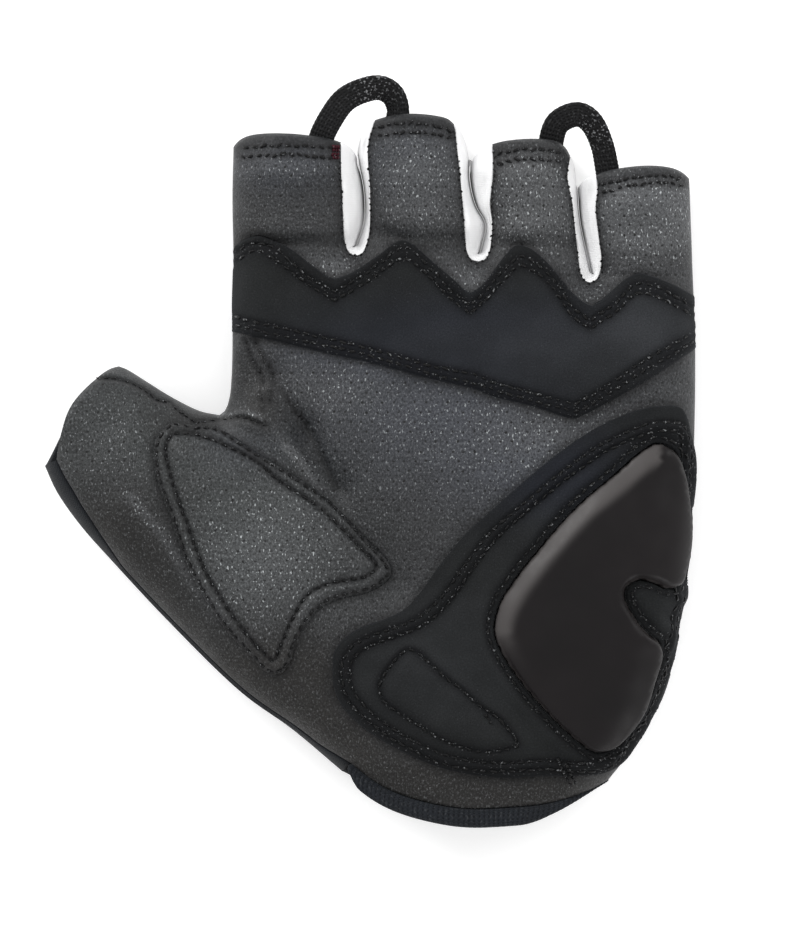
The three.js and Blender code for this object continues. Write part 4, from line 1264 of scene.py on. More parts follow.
def perforation_group():
    """Staggered punched holes over flat pattern millimetres."""
    tree, make, given = new_group(
        "Punched holes",
        [("Vector", VECTOR, None), ("Pitch across", FLOAT, 2.35), ("Row spacing", FLOAT, 2.15),
         ("Hole radius", FLOAT, 0.25), ("Unevenness", FLOAT, 0.25)],
        [("Hole", FLOAT), ("Distance", FLOAT)],
    )
    wobble = make.noise(given["Vector"], 0.45, 1.0).outputs["Color"]
    wobble = make.shifted(wobble, (-0.5, -0.5, -0.5))
    wobble = make.add("ShaderNodeVectorMath", {0: wobble, "Scale": given["Unevenness"]},
                      operation="SCALE").outputs[0]
    moved = make.shifted(given["Vector"], wobble)
    parts = make.add("ShaderNodeSeparateXYZ", {0: moved}).outputs
    tall = make.sum("MULTIPLY", given["Row spacing"], 2.0)
    distances = []
    for shift in (0.0, 0.5):
        squares = []
        for part, pitch in ((parts[0], given["Pitch across"]), (parts[1], tall)):
            cell = make.sum("ADD", make.sum("DIVIDE", part, pitch), shift + 100.0)
            cell = make.sum("SUBTRACT", make.sum("FRACT", cell), 0.5)
            cell = make.sum("MULTIPLY", cell, pitch)
            squares.append(make.sum("MULTIPLY", cell, cell))
        distances.append(make.sum("SQRT", make.sum("ADD", *squares)))
    distance = make.sum("MINIMUM", *distances)
    soft = make.sum("SUBTRACT", distance, given["Hole radius"])
    hole = make.window(soft, -0.1, 0.1, 1.0, 0.0)
    make.put_out({"Hole": hole, "Distance": distance})
    return tree


def grain_group():
    """Fine leather grain: small cells, pores and glints."""
    tree, make, given = new_group(
        "Leather grain",
        [("Vector", VECTOR, None), ("Cell size", FLOAT, 0.5), ("Glint share", FLOAT, 0.5)],
        [("Height", FLOAT), ("Mottle", FLOAT), ("Speckle", FLOAT), ("Glint", FLOAT)],
    )
    density = make.sum("DIVIDE", 1.0, given["Cell size"])
    cells = make.add("ShaderNodeTexVoronoi", {"Vector": given["Vector"], "Scale": density},
                     feature="F1").outputs["Distance"]
    fine = make.noise(given["Vector"], make.sum("MULTIPLY", density, 1.3), 3.0, 0.65).outputs[0]
    height = make.sum("MULTIPLY_ADD", cells, -0.5, fine)
    mottle = make.noise(given["Vector"], 0.16, 4.0, 0.6).outputs[0]
    upright = make.scaled(given["Vector"], (1.0, 0.68, 1.0))
    speckle = make.noise(upright, make.sum("MULTIPLY", density, 1.15), 3.0, 0.75).outputs[0]
    ticks = make.scaled(given["Vector"], (1.0, 0.5, 1.0))
    speck = make.noise(make.shifted(ticks, (37.0, 11.0, 0.0)),
                       make.sum("MULTIPLY", density, 1.05), 1.0, 0.5).outputs[0]
    lowest = make.window(given["Glint share"], 0.0, 1.0, 0.72, 0.58)
    glint = make.window(make.sum("SUBTRACT", speck, lowest), 0.0, 0.06)
    make.put_out({"Height": height, "Mottle": mottle, "Speckle": speckle, "Glint": glint})
    return tree


def knit_group():
    """Knitted or woven threads: rows of small arches."""
    tree, make, given = new_group(
        "Knit",
        [("Vector", VECTOR, None), ("Stitch width", FLOAT, 0.7), ("Stitch height", FLOAT, 0.6)],
        [("Height", FLOAT), ("Shade", FLOAT)],
    )
    parts = make.add("ShaderNodeSeparateXYZ", {0: given["Vector"]}).outputs
    turn = 2 * math.pi
    over = make.sum("MULTIPLY", make.sum("DIVIDE", parts[0], given["Stitch width"]), turn)
    up = make.sum("MULTIPLY", make.sum("DIVIDE", parts[1], given["Stitch height"]), turn)
    wave = make.sum("COSINE", over)
    arch = make.sum("SINE", make.sum("MULTIPLY_ADD", wave, 1.3, up))
    column = make.sum("ABSOLUTE", make.sum("SINE", make.sum("MULTIPLY", over, 0.5)))
    height = make.sum("MULTIPLY_ADD", arch, 0.35, column)
    rough = make.noise(given["Vector"], 3.0, 2.0).outputs[0]
    height = make.sum("MULTIPLY_ADD", rough, 0.5, height)
    shade = make.window(height, -0.1, 1.4)
    make.put_out({"Height": height, "Shade": shade})
    return tree


def cavity_shade_group():
    """Painted shade in seams, creases and hollows, from the mark that each piece carries."""
    tree, make, given = new_group(
        "Painted cavity shade",
        [("Colour", COLOUR, (0.1, 0.1, 0.1, 1)), ("Cavity shade", FLOAT, 0.0), ("Shade depth", FLOAT, 0.6)],
        [("Colour", COLOUR)],
    )
    dark = make.sum("MULTIPLY", given["Cavity shade"], given["Shade depth"], clamp=True)
    make.put_out({"Colour": make.blend(dark, given["Colour"], PAINTED_SHADE_COLOUR)})
    return tree


GROUPS = {}


def place_group(make, maker, inputs):
    """Places a shared group, which is made once."""
    if maker not in GROUPS:
        GROUPS[maker] = maker()
    return make.add("ShaderNodeGroup", inputs, node_tree=GROUPS[maker]).outputs


def new_material(name, settings):
    material = bpy.data.materials.new(name)
    material.use_nodes = True
    tree = material.node_tree
    shader = tree.nodes["Principled BSDF"]
    for socket, value in settings.items():
        shader.inputs[socket].default_value = value
    return material, Maker(tree), shader


def colour(value, factor=1.0):
    return (*(factor * part for part in value), 1.0)


def grey(value):
    return (value, value, value, 1.0)


def leather_material(name):
    colours = bpy.context.scene.glove_colours
    sizes = bpy.context.scene.glove_sizes
    material, make, shader = new_material(name, {"Specular IOR Level": 0.3, "Roughness": 0.5})
    flat = make.flat()
    grain = place_group(make, grain_group, {"Vector": flat, "Cell size": sizes.grain_size,
                                            "Glint share": 0.5})
    light = make.mark("light")
    # Bluish places are partly tone and partly painted sheen, brownish places partly tone and partly
    # painted shade; greenish places are tone.
    base = colour(colours.leather)
    for mark, tint in (("cool_tone_and_sheen", colours.leather_cool_and_sheen), ("green", colours.leather_green),
                       ("warm_tone_and_shade", colours.leather_warm_and_shade)):
        base = make.blend(make.mark(mark), base, colour(tint))
    base = make.blend(make.window(grain["Mottle"], 0.3, 0.72), base, grey(0.72), "MULTIPLY")
    base = make.blend(make.window(light, 0.0, 1.25, 0.0, 0.75), base, LEATHER_LIT)
    # Painted shade at the dark spots.
    base = make.blend(make.mark("dark"), base, grey(0.42), "MULTIPLY")
    speckle = make.window(grain["Speckle"], 0.53, 0.35, 0.0, 0.9)
    base = make.blend(speckle, base, grey(0.3), "MULTIPLY")
    # Painted highlights on the crests of the grain, stronger in the painted light.
    crest_highlight = make.sum("MULTIPLY", make.window(grain["Speckle"], 0.5, 0.78),
                     make.window(light, 0.0, 0.9, 0.45, 1.0))
    base = make.blend(crest_highlight, base, LEATHER_CREST_HIGHLIGHT)
    glint = make.sum("MULTIPLY", grain["Glint"], make.window(light, 0.0, 0.8, 0.1, 0.9))
    base = make.blend(glint, base, GLINT)
    given = {"Vector": flat, "Pitch across": sizes.hole_pitch, "Row spacing": sizes.hole_rows,
             "Hole radius": 0.5 * sizes.hole_size, "Unevenness": 0.9}
    hole = place_group(make, perforation_group, given)
    glow = {**given, "Vector": make.shifted(flat, (0.3, 0.36, 0)), "Hole radius": 0.12}
    lit = place_group(make, perforation_group, glow)["Hole"]
    some = make.window(make.noise(flat, 0.9, 2.0, 0.7).outputs[0], 0.5, 0.66)
    punched = make.sum("SUBTRACT", 1.0, make.mark("plain"))
    lit = make.sum("MULTIPLY", make.sum("MULTIPLY", lit, some), punched)
    lit = make.sum("MULTIPLY", lit, make.window(light, 0.0, 0.8, 0.3, 0.95))
    base = make.blend(lit, base, GLINT)
    # The holes are not cut: each is painted dark, painted shade in place of the hole.
    depth = make.window(make.noise(flat, 0.5, 2.0).outputs[0], 0.32, 0.6, 0.35, 1.0)
    depth = make.sum("MULTIPLY", depth, punched)
    base = make.blend(make.sum("MULTIPLY", hole["Hole"], depth), base, HOLE_SHADE_COLOUR)
    rim = make.sum("MULTIPLY", make.window(hole["Distance"], 0.2, 0.55, 1.0, 0.0), punched)
    relief = make.sum("MULTIPLY_ADD", rim, -0.07, make.sum("MULTIPLY", grain["Height"], 0.13))
    # Painted shade along seams, stitch rows, creases and patch edges.
    base = place_group(make, cavity_shade_group, {"Colour": base, "Cavity shade": make.mark("cavity_shade"),
                                          "Shade depth": 0.75})["Colour"]
    make.dress(shader, base, make.window(grain["Mottle"], 0.3, 0.7, 0.5, 0.62), relief, 1.0)
    return material


def suede_material(name):
    colours = bpy.context.scene.glove_colours
    material, make, shader = new_material(
        name, {"Specular IOR Level": 0.1, "Sheen Weight": 0.03, "Sheen Roughness": 0.5,
               "Sheen Tint": (0.6, 0.65, 0.75, 1)})
    flat = make.flat()
    nap = make.noise(flat, 2.8, 4.0, 0.7).outputs[0]
    # Bluish places are partly the suede's tone and partly painted sheen; the bright spots are painted
    # light.
    base = make.blend(make.mark("cool_tone_and_sheen"), colour(colours.suede), colour(colours.suede_blue_and_sheen))
    base = make.blend(make.mark("bright"), base, SUEDE_LIT)
    slow = make.noise(flat, 0.09, 3.0, 0.55).outputs[0]
    base = make.blend(make.window(slow, 0.35, 0.68), base, grey(0.8), "MULTIPLY")
    base = make.blend(make.window(nap, 0.3, 0.7), base, grey(0.66), "MULTIPLY")
    speck = make.noise(flat, 2.2, 2.0, 0.6).outputs[0]
    base = make.blend(make.window(speck, 0.6, 0.8, 0.0, 0.4), base, SUEDE_SPECK)
    # Painted shade along the stitch rows and edges.
    cavity_shade = make.mark("cavity_shade")
    base = place_group(make, cavity_shade_group, {"Colour": base, "Cavity shade": cavity_shade,
                                          "Shade depth": 0.62})["Colour"]
    # Light fluff specks by the stitches, painted as small glints.
    fluff_glint = make.noise(flat, 1.9, 1.0, 0.6).outputs[0]
    fluff_glint = make.sum("MULTIPLY", make.window(fluff_glint, 0.66, 0.72), make.window(cavity_shade, 0.5, 0.95))
    base = make.blend(make.sum("MULTIPLY", fluff_glint, 0.35), base, FLUFF_GLINT_GREY)
    rough = make.window(nap, 0.3, 0.7, 0.78, 0.95)
    make.dress(shader, base, rough, make.sum("MULTIPLY", nap, 0.1), 0.8)
    return material


def gel_material(name):
    colours = bpy.context.scene.glove_colours
    material, make, shader = new_material(name, {"Specular IOR Level": 0.16})
    flat = make.flat()
    slow = make.noise(flat, 0.06, 2.0).outputs[0]
    base = make.blend(make.window(slow, 0.3, 0.7), colour(colours.gel), colour(colours.gel_deep))
    base = make.blend(make.window(make.mark("shine"), 0.0, 1.0), base, GEL_LIT)
    fine = make.noise(flat, 3.5, 2.0).outputs[0]
    rough = make.window(make.noise(flat, 0.3, 3.0).outputs[0], 0.3, 0.7, 0.36, 0.46)
    make.dress(shader, base, rough, make.sum("MULTIPLY", fine, 0.012), 0.6)
    return material


def fabric_material(name, first, second, width, height, relief, gap=0.5, sheen=0.02, glints=0.0):
    """Knitted or woven cloth with its own thread size."""
    material, make, shader = new_material(
        name, {"Specular IOR Level": 0.2, "Sheen Weight": sheen, "Sheen Roughness": 0.4})
    flat = make.flat()
    knit = place_group(make, knit_group, {"Vector": flat, "Stitch width": width,
                                          "Stitch height": height})
    slow = make.noise(flat, 0.12, 3.0, 0.6).outputs[0]
    base = make.blend(make.window(slow, 0.32, 0.7), first, second)
    between = make.window(knit["Shade"], 0.0, 0.75, 1.0, 0.0)
    base = make.blend(between, base, grey(1.0 - gap), "MULTIPLY")
    # Painted glints on the thread crests, strongest where the light mark is high.
    speck = make.noise(flat, 1.5, 2.0, 0.6).outputs[0]
    speck = make.sum("MULTIPLY", make.window(speck, 0.54, 0.66, 0.0, glints), knit["Shade"])
    speck = make.sum("MULTIPLY", speck, make.window(make.mark("light"), 0.0, 1.0, 0.1, 1.0))
    base = make.blend(speck, base, FLUFF_GLINT_GREY)
    # Painted shade where the cloth folds.
    base = make.blend(make.mark("cavity_shade"), base, KNIT_SHADE_COLOUR)
    rough = make.window(knit["Shade"], 0.0, 1.0, 0.92, 0.74)
    make.dress(shader, base, rough, make.sum("MULTIPLY", knit["Height"], relief), 0.9)
    return material


def thread_material(name, tint):
    """Twisted sewing thread with small glints."""
    material, make, shader = new_material(name, {"Specular IOR Level": 0.2})
    place = make.place()
    glow = make.window(make.noise(place, 1.9, 1.0, 0.6).outputs[0], 0.63, 0.68, 0.0, 0.5)
    twist = make.add("ShaderNodeTexWave", {"Vector": place, "Scale": 1.6, "Distortion": 1.5,
                                           "Detail": 1.0}, bands_direction="DIAGONAL").outputs[1]
    base = make.blend(twist, colour(tint), colour(tint, 0.35))
    base = make.blend(glow, base, THREAD_GLINT)
    rough = make.window(make.noise(place, 1.1, 2.0).outputs[0], 0.3, 0.7, 0.62, 0.35)
    make.dress(shader, base, rough, make.sum("MULTIPLY", twist, 0.08), 0.8)
    return material


# Pieces

def plain_places(points):
    """Hems and the strip over the thumb, which have no punched holes."""
    plain = np.zeros(len(points))
    for line in hem_lines[:4]:
        plain = np.maximum(plain, smooth_step(-near(points, line, 4)[0], -2.6, -1.6))
    distance, _, side, _ = near(points, seam_lines["thumb_top"], 12)
    strip = np.where((side > 0) & (distance < 12), smooth_step(distance, 0.2, 0.6), 0)
    return np.maximum(plain, strip)


def slot_rows():
    """Seam lines just outside the white strips."""
    rows = []
    for slot in SLOTS:
        left, right = (drawn(slot[side], STITCH_SPACING) for side in ("left", "right"))
        outline = offset_ring(np.vstack((left[::-1], right[1:])), 0.2)
        rows.append(outline[3:-3])
    return rows


def palm_grooves():
    """Lines where shade is painted on the leather. Each: line, half width (mm), depth of shade."""
    yield from ((line, 0.7, 1.0) for line in seam_lines.values())
    yield from ((drawn(row), 0.7, 0.8) for row in HEM_ROWS)
    yield crease_lines[0][0], 0.55, 1.0
    yield from ((line, width, 0.4 * max(depth, 0.0)) for line, width, depth in crease_lines[1:])
    yield closed_ring(offset_ring(thumb_row, 0.6)), 1.0, 0.7
    yield closed_ring(offset_ring(heel_outline, 0.3)), 1.0, 0.7
    yield band_top + (0, 0.3), 1.0, 0.7
    yield band_bottom - (0, 0.3), 1.0, 0.7
    for line in slot_rows():
        yield line, 0.9, 0.6
        yield line, 2.6, 0.3


def build_palm_panel():
    """Leather over the palm, the finger fronts and the thumb front."""
    palm, thumb = hand_plan(thumb_edge(wrap_width))
    skin = Skin()
    for plan in finger_plans:
        skin.add_plan(plan, palm_height, True)
    skin.add_plan(palm, palm_height, False)
    skin.add_plan(thumb, palm_height, True)
    plan = np.vstack(skin.points)[:, :2]
    # Painted shade along seams, stitch rows, creases, patch edges and finger sides; the hem bands are
    # darkened as well.
    cavity_shade = np.zeros(len(plan))
    for line, width, depth in palm_grooves():
        cavity_shade += groove(plan, line, width, depth)
    for line in hem_lines[:4]:
        cavity_shade += 0.6 * smooth_step(-near(plan, line, 4)[0], -2.8, -1.4)
    marks = {"cavity_shade": np.clip(cavity_shade, 0, 1), "plain": plain_places(plan), **tones(plan)}
    piece = skin.build("palm_leather", marks, merge=0.02)
    thicken(piece, LEATHER_WALL)
    return piece


def build_back_panel():
    """Stretch fabric over the back, folded over the thumb edge onto the palm side."""
    palm, thumb = hand_plan(thumb_edge(np.zeros_like))
    skin = Skin()
    for plan in finger_plans:
        skin.add_plan(plan[::2, ::2], back_height, False)
    skin.add_plan(np.concatenate((palm[::2], palm[-1:])) if len(palm) % 2 == 0 else palm[::2],
                  back_height, True)
    skin.add_plan(thumb[::2], back_height, False)
    parts = np.linspace(0, 1, FOLD_ROWS + 1)
    fold = np.array([thumb_edge(lambda share, part=part: part * wrap_width(share)) for part in parts])
    columns = fold.shape[1]
    height = palm_height(fold.reshape(-1, 2))
    height[columns * FOLD_ROWS:] -= 0.35
    height += np.repeat(0.35 * np.sin(math.pi * parts), columns)
    height[:columns] = SEAM_HEIGHT - 0.5 * SEAM_GAP
    skin.add_plan(fold, height, False)
    piece = skin.build("back_fabric", merge=0.02)
    thicken(piece, FABRIC_WALL)
    return piece


def build_fourchette(slot):
    """The white strip between two fingers, from the palm edge round to the back edge."""
    left, right = (resample(drawn(slot[side]), STRIP_STEPS) for side in ("left", "right"))
    path = np.vstack((left[::-1], right[1:]))
    arc = line_lengths(path)
    meeting = extended(drawn(slot["meeting"]), 12)
    foot_y = pattern(slot["meeting"][:1])[0][1]
    levels = np.concatenate((np.linspace(1, 0, STRIP_FRONT_ROWS) ** 1.6,
                             np.linspace(0, 1, STRIP_BACK_ROWS + 1)[1:]))
    sides = np.concatenate((-np.ones(len(left)), np.ones(len(right) - 1)))
    rise = np.concatenate((np.linspace(1, 0, len(left)), np.linspace(0, 1, len(right))[1:]))
    dips = np.where(sides < 0, slot["dips"][0], slot["dips"][1])
    top = smooth_step(rise, 0.72, 1.0)
    y = path[:, 1]
    middle = np.column_stack((line_between(meeting)(y) + 0.03 * sides,
                              np.maximum(y, foot_y - 0.6 * (1 - rise))))
    rows, flats = [], []
    for number, level in enumerate(levels):
        front = number < STRIP_FRONT_ROWS
        plan = middle + (path - middle) * level ** 0.8
        plan[:, 1] -= dips * top * (1 - math.sqrt(1 - (1 - level) ** 2))
        height = palm_height(plan) - 0.15 if front else back_height(plan)
        shallow = smooth_step(level, -0.02, 0.14 if front else 0.3)
        height = height * shallow + SEAM_HEIGHT * (1 - shallow)
        waves = ripple(np.column_stack((arc, np.full(len(arc), level * 9.0))), 7, 31)
        height += 0.35 * waves * (level * (1 - level) * 4)
        rows.append(np.column_stack((plan, height)))
        flats.append(np.column_stack((arc, np.full(len(arc), number * 0.9))))
    skin = Skin()
    skin.add_grid(np.array(rows), np.array(flats), True)
    # Painted shade along the fold in the middle of the strip.
    span = smooth_step(rise, 0.3, 0.5) * (1 - smooth_step(rise, 0.78, 0.9))
    cavity_shade = hump(levels, 0.05)[:, None] * span[None]
    piece = skin.build(slot["name"].replace("fourchette", "white_strip"), {"cavity_shade": cavity_shade.ravel()})
    thicken(piece, STRIP_WALL)
    piece.modifiers.new("soften", "SUBSURF").levels = 1
    apply_modifiers(piece)
    return piece


def build_loop(name):
    """Ribbed webbing bent in its own plane, its ends inside the two hems."""
    table = np.array(LOOPS[name])
    path = np.column_stack((pattern(table[:, :2]), SEAM_HEIGHT + table[:, 2], table[:, 3]))
    line = spline(path, samples=24)
    lengths = line_lengths(line[:, :3])
    whole = lengths[-1]
    travel = np.linspace(0, whole, int(whole / (WEBBING_RIB / 6)) + 1)
    even = np.column_stack([np.interp(travel, lengths, line[:, k]) for k in range(4)])
    run = unit(np.gradient(even[:, :3], axis=0), 0.0)
    flat = unit(np.column_stack((-run[:, 1], run[:, 0], np.zeros(len(run)))), 0.0)
    turn = np.radians(even[:, 3])[:, None]
    wide = flat * np.cos(turn) + np.cross(run, flat) * np.sin(turn)
    high = np.cross(run, wide)
    rib = 0.5 + 0.5 * np.cos(2 * math.pi * travel / WEBBING_RIB)
    angle = circle_angles(WEBBING_SIDES)
    over, tall = squarer(np.cos(angle), 0.35), squarer(np.sin(angle), 0.6)
    half_wide = 0.5 * WEBBING_WIDTH * (1 - 0.02 * (1 - rib))
    half_high = 0.5 * WEBBING_THICKNESS * (0.82 + 0.18 * rib)
    rings = (even[:, None, :3] + wide[:, None] * (over[None, :, None] * half_wide[:, None, None])
             + high[:, None] * (tall[None, :, None] * half_high[:, None, None]))
    skin = Skin()
    skin.add_grid(rings, np.stack(np.meshgrid(over * 2.5, travel), axis=-1), True, closed=True)
    last = (len(travel) - 1) * WEBBING_SIDES
    skin.faces += [[list(range(WEBBING_SIDES))],
                   [list(range(last, last + WEBBING_SIDES))[::-1]]]
    light = np.repeat(hump(travel / whole, 0.13, 0.6), WEBBING_SIDES)
    return skin.build(name.replace("pull_loop", "webbing"), {"light": light})


def softened(ring):
    """A closed ring of vectors, each drawn towards its neighbours."""
    return 0.5 * ring + 0.25 * (np.roll(ring, 1, 0) + np.roll(ring, -1, 0))


def build_binding():
    """Knitted band round the wrist mouth."""
    front = hand_plan(thumb_edge(wrap_width))[0][-1]
    back = front[::-1]
    plan = np.vstack((front, back))
    nothing = np.zeros(len(plan))
    lean = (plan[:, 0] - plan[:, 0].mean()) / (0.5 * np.ptp(plan[:, 0]))
    lean = np.where(lean > 0, BINDING_LEAN_RIGHT, BINDING_LEAN_LEFT) * lean
    out = unit(np.column_stack((lean, nothing - 1, nothing)), 0.0)
    space, normal = palm_frame(front)
    bottom = np.tile((0.0, 0.0, -1.0), (len(back), 1))
    side, other = (1 - np.clip(nearest(plan, side_lines[number])[0] / SIDE_ROUND, 0, 1)
                   for number in (2, 1))
    base = np.vstack((space, np.column_stack((back, back_height(back)))))
    face = np.vstack((normal, bottom)) * (1 - np.maximum(side, other))[:, None]
    face = face + np.column_stack((side - other, nothing, nothing))
    face = unit(face - out * (face * out).sum(1)[:, None], 0.0)
    whole = line_lengths(closed_ring(base))
    wanted = np.linspace(0, whole[-1], BINDING_STEPS, endpoint=False)

    def even(values):
        values = closed_ring(values)
        return np.column_stack([np.interp(wanted, whole, values[:, k]) for k in range(3)])

    base, face, out = even(base), even(face), even(out)
    for _ in range(2):
        base = softened(base)
    for _ in range(10):
        face = softened(face)
    face = unit(face, 0.0)
    angle = circle_angles(BINDING_SIDES)
    along = (0.5 + 0.5 * squarer(np.cos(angle), 0.7))[None, :, None]
    high = squarer(np.sin(angle), 0.7)[None, :, None]
    bulge = 0.5 * BINDING_THICKNESS * (1 + 0.03 * np.sin(wanted * 2 * math.pi / BINDING_RIB))
    across = base[:, 0]
    proud = BINDING_PROUD * (1 - smooth_step(across, *BINDING_FLUSH_RIGHT))
    proud -= 0.5 * BINDING_THICKNESS
    width = 1 - BINDING_TAPER * smooth_step(across, *BINDING_TAPER_RIGHT)
    width -= BINDING_TAPER * smooth_step(-across, *BINDING_TAPER_LEFT)
    width, proud, bulge = (part[:, None, None] for part in (BINDING_WIDTH * width, proud, bulge))
    rings = (base[:, None] + out[:, None] * (0.15 + along * width)
             + face[:, None] * (proud + high * bulge))
    rings[..., 2] = np.maximum(rings[..., 2], 0.0)
    rows = np.cumsum(np.full(BINDING_SIDES, 0.62))
    coords = np.stack(np.meshgrid(wanted, rows, indexing="ij"), axis=-1)
    skin = Skin()
    coords = np.concatenate((coords, coords[:1] + (whole[-1], 0)))
    skin.add_grid(closed_ring(rings), coords, closed=True)
    return skin.build("knit_binding", merge=0.01)


class GloveSizes(bpy.types.PropertyGroup):
    """Sizes of the finishes, in millimetres"""

    hole_pitch: FloatProperty(name="Hole pitch", description="Distance between holes in a row, mm",
                              default=2.35, min=1.0, max=6.0)
    hole_rows: FloatProperty(name="Row spacing", description="Distance between rows of holes, mm",
                             default=2.15, min=1.0, max=6.0)
    hole_size: FloatProperty(name="Hole size", description="Width of a punched hole, mm",
                             default=0.5, min=0.1, max=1.5)
    grain_size: FloatProperty(name="Grain size", description="Width of a leather grain cell, mm",
                              default=0.5, min=0.1, max=2.0)
    thread: FloatProperty(name="Thread", description="Thickness of the sewing thread, mm",
                          default=0.55, min=0.2, max=1.2)


def colour_property(name, description, default):
    return FloatVectorProperty(name=name, description=description, subtype="COLOR", size=3,
                               min=0.0, max=1.0, default=default)


class GloveColours(bpy.types.PropertyGroup):
    """Colours of the materials"""

    leather: colour_property("Leather", "Main leather", (0.028, 0.029, 0.031))
    # The cool leather is partly a bluish tone and partly painted sheen; the warm leather is partly a
    # brownish tone and partly painted shade.
    leather_cool_and_sheen: colour_property("Cool leather and sheen", "Bluish places", (0.033, 0.037, 0.048))
    leather_warm_and_shade: colour_property("Warm leather and shade", "Brownish places", (0.0125, 0.0112, 0.0100))
    leather_green: colour_property("Green leather", "Greenish places", (0.030, 0.035, 0.034))
    suede: colour_property("Suede", "Band and heel patch", (0.0158, 0.0168, 0.0172))
    # Partly the suede's bluish tone, partly painted sheen.
    suede_blue_and_sheen: colour_property("Blue suede and sheen", "Bluish places of the suede", (0.0158, 0.0176, 0.0226))
    fabric: colour_property("Back fabric", "Stretch fabric", (0.0062, 0.0078, 0.0105))
    white: colour_property("White fabric", "Strips between the fingers", (0.86, 0.86, 0.865))
    gel: colour_property("Gel pad", "Smooth pad", (0.0075, 0.0060, 0.0065))
    gel_deep: colour_property("Deep gel", "Darker places of the pad", (0.0060, 0.0050, 0.0054))
    webbing: colour_property("Webbing", "Pull loops", (0.0042, 0.0042, 0.0046))
    thread: colour_property("Thread", "Black thread", (0.006, 0.006, 0.0065))
    accent: colour_property("Accent thread", "Dark red thread", (0.06, 0.004, 0.012))
    floor: colour_property("Floor", "Pale floor", (0.93, 0.93, 0.93))


CAMERA_DISTANCE = 1.2
CAMERA_SENSOR = 36
GLOVE_MIDDLE = 0.012
PICTURE_ROWS = 926
PICTURE_MIDDLE = (400, 463)
FLOOR_HALF = 2.2

# Columns: name, place (m), size (m), power (W)
LIGHTS = (
    ("upper left softbox", (-0.8, 0.8, 0.55), 0.55, 11.0),
    ("upper right softbox", (0.85, 0.65, 0.6), 0.6, 4.5),
    ("lower right softbox", (0.75, -0.85, 0.45), 0.5, 3.0),
)


def build_floor(colours):
    mesh = bpy.data.meshes.new("floor")
    corners = [(across * FLOOR_HALF, along * FLOOR_HALF, 0)
               for across, along in ((-1, -1), (1, -1), (1, 1), (-1, 1))]
    mesh.from_pydata(corners, [], [(0, 1, 2, 3)])
    floor = bpy.data.objects.new("floor", mesh)
    bpy.context.scene.collection.objects.link(floor)
    floor.location.z = min(CAD_BOX[0][2], 0.0) - 0.0002
    material, make, shader = new_material("pale floor", {
        "Roughness": 0.9, "Emission Color": (1, 1, 1, 1), "Emission Strength": 0.3})
    haze = make.noise(make.place(), 0.004, 2.0).outputs[0]
    tint = make.blend(make.window(haze, 0.3, 0.7), colour(colours.floor),
                      colour(colours.floor, 0.985))
    make.tree.links.new(tint, shader.inputs["Base Color"])
    mesh.materials.append(material)


def build_light(name, place, size, power):
    light = bpy.data.lights.new(name, "AREA")
    light.size = size
    light.energy = power
    holder = bpy.data.objects.new(name, light)
    holder.location = place
    holder.rotation_euler = (-Vector(place)).to_track_quat("-Z", "Y").to_euler()
    bpy.context.scene.collection.objects.link(holder)


class GLOVE_OT_stage(bpy.types.Operator):
    """Adds the floor, the lights and the camera"""

    bl_idname = "glove.stage"
    bl_label = "Stage"

    def execute(self, context):
        build_floor(context.scene.glove_colours)
        world = context.scene.world or bpy.data.worlds.new("studio")
        context.scene.world = world
        world.use_nodes = True
        sky = world.node_tree.nodes["Background"]
        sky.inputs["Color"].default_value = (1.0, 1.0, 1.0, 1)
        sky.inputs["Strength"].default_value = 0.85
        for light in LIGHTS:
            build_light(*light)
        context.scene.view_settings.view_transform = "Standard"
        camera = bpy.data.cameras.new("camera")
        camera.sensor_width = CAMERA_SENSOR
        camera.sensor_fit = "AUTO"
        camera.lens = CAMERA_SENSOR * CAMERA_DISTANCE / (PICTURE_ROWS * PATTERN_STEP * 0.001)
        camera.clip_end = 20
        x, y, _ = in_frame([[*pattern([PICTURE_MIDDLE])[0], 0]])[0]
        holder = bpy.data.objects.new("camera", camera)
        holder.location = (x, y, CAMERA_DISTANCE + GLOVE_MIDDLE)
        context.scene.collection.objects.link(holder)
        context.scene.camera = holder
        return {"FINISHED"}


class GLOVE_OT_palm_panel(bpy.types.Operator):
    """Builds the perforated leather palm"""

    bl_idname = "glove.palm_panel"
    bl_label = "Palm leather"

    def execute(self, context):
        piece = build_palm_panel()
        finish(piece, "perforated leather", leather_material)
        settle(piece, "palm_panel")
        return {"FINISHED"}


class GLOVE_OT_back_panel(bpy.types.Operator):
    """Builds the stretch fabric back"""

    bl_idname = "glove.back_panel"
    bl_label = "Back fabric"

    def execute(self, context):
        tint = context.scene.glove_colours.fabric
        piece = build_back_panel()
        finish(piece, "stretch knit", lambda name: fabric_material(
            name, colour(tint), colour(tint, 0.7), 0.55, 0.5, 0.08))
        settle(piece, "back_panel")
        return {"FINISHED"}


class GLOVE_OT_white_strips(bpy.types.Operator):
    """Builds the white strips between the fingers"""

    bl_idname = "glove.white_strips"
    bl_label = "White strips"

    def execute(self, context):
        tint = context.scene.glove_colours.white
        for slot in SLOTS:
            piece = build_fourchette(slot)
            finish(piece, "white knit", lambda name: fabric_material(
                name, colour(tint), colour(tint, 0.98), 0.4, 0.36, 0.03, gap=0.03, sheen=0.0))
            settle(piece, slot["name"])
        return {"FINISHED"}


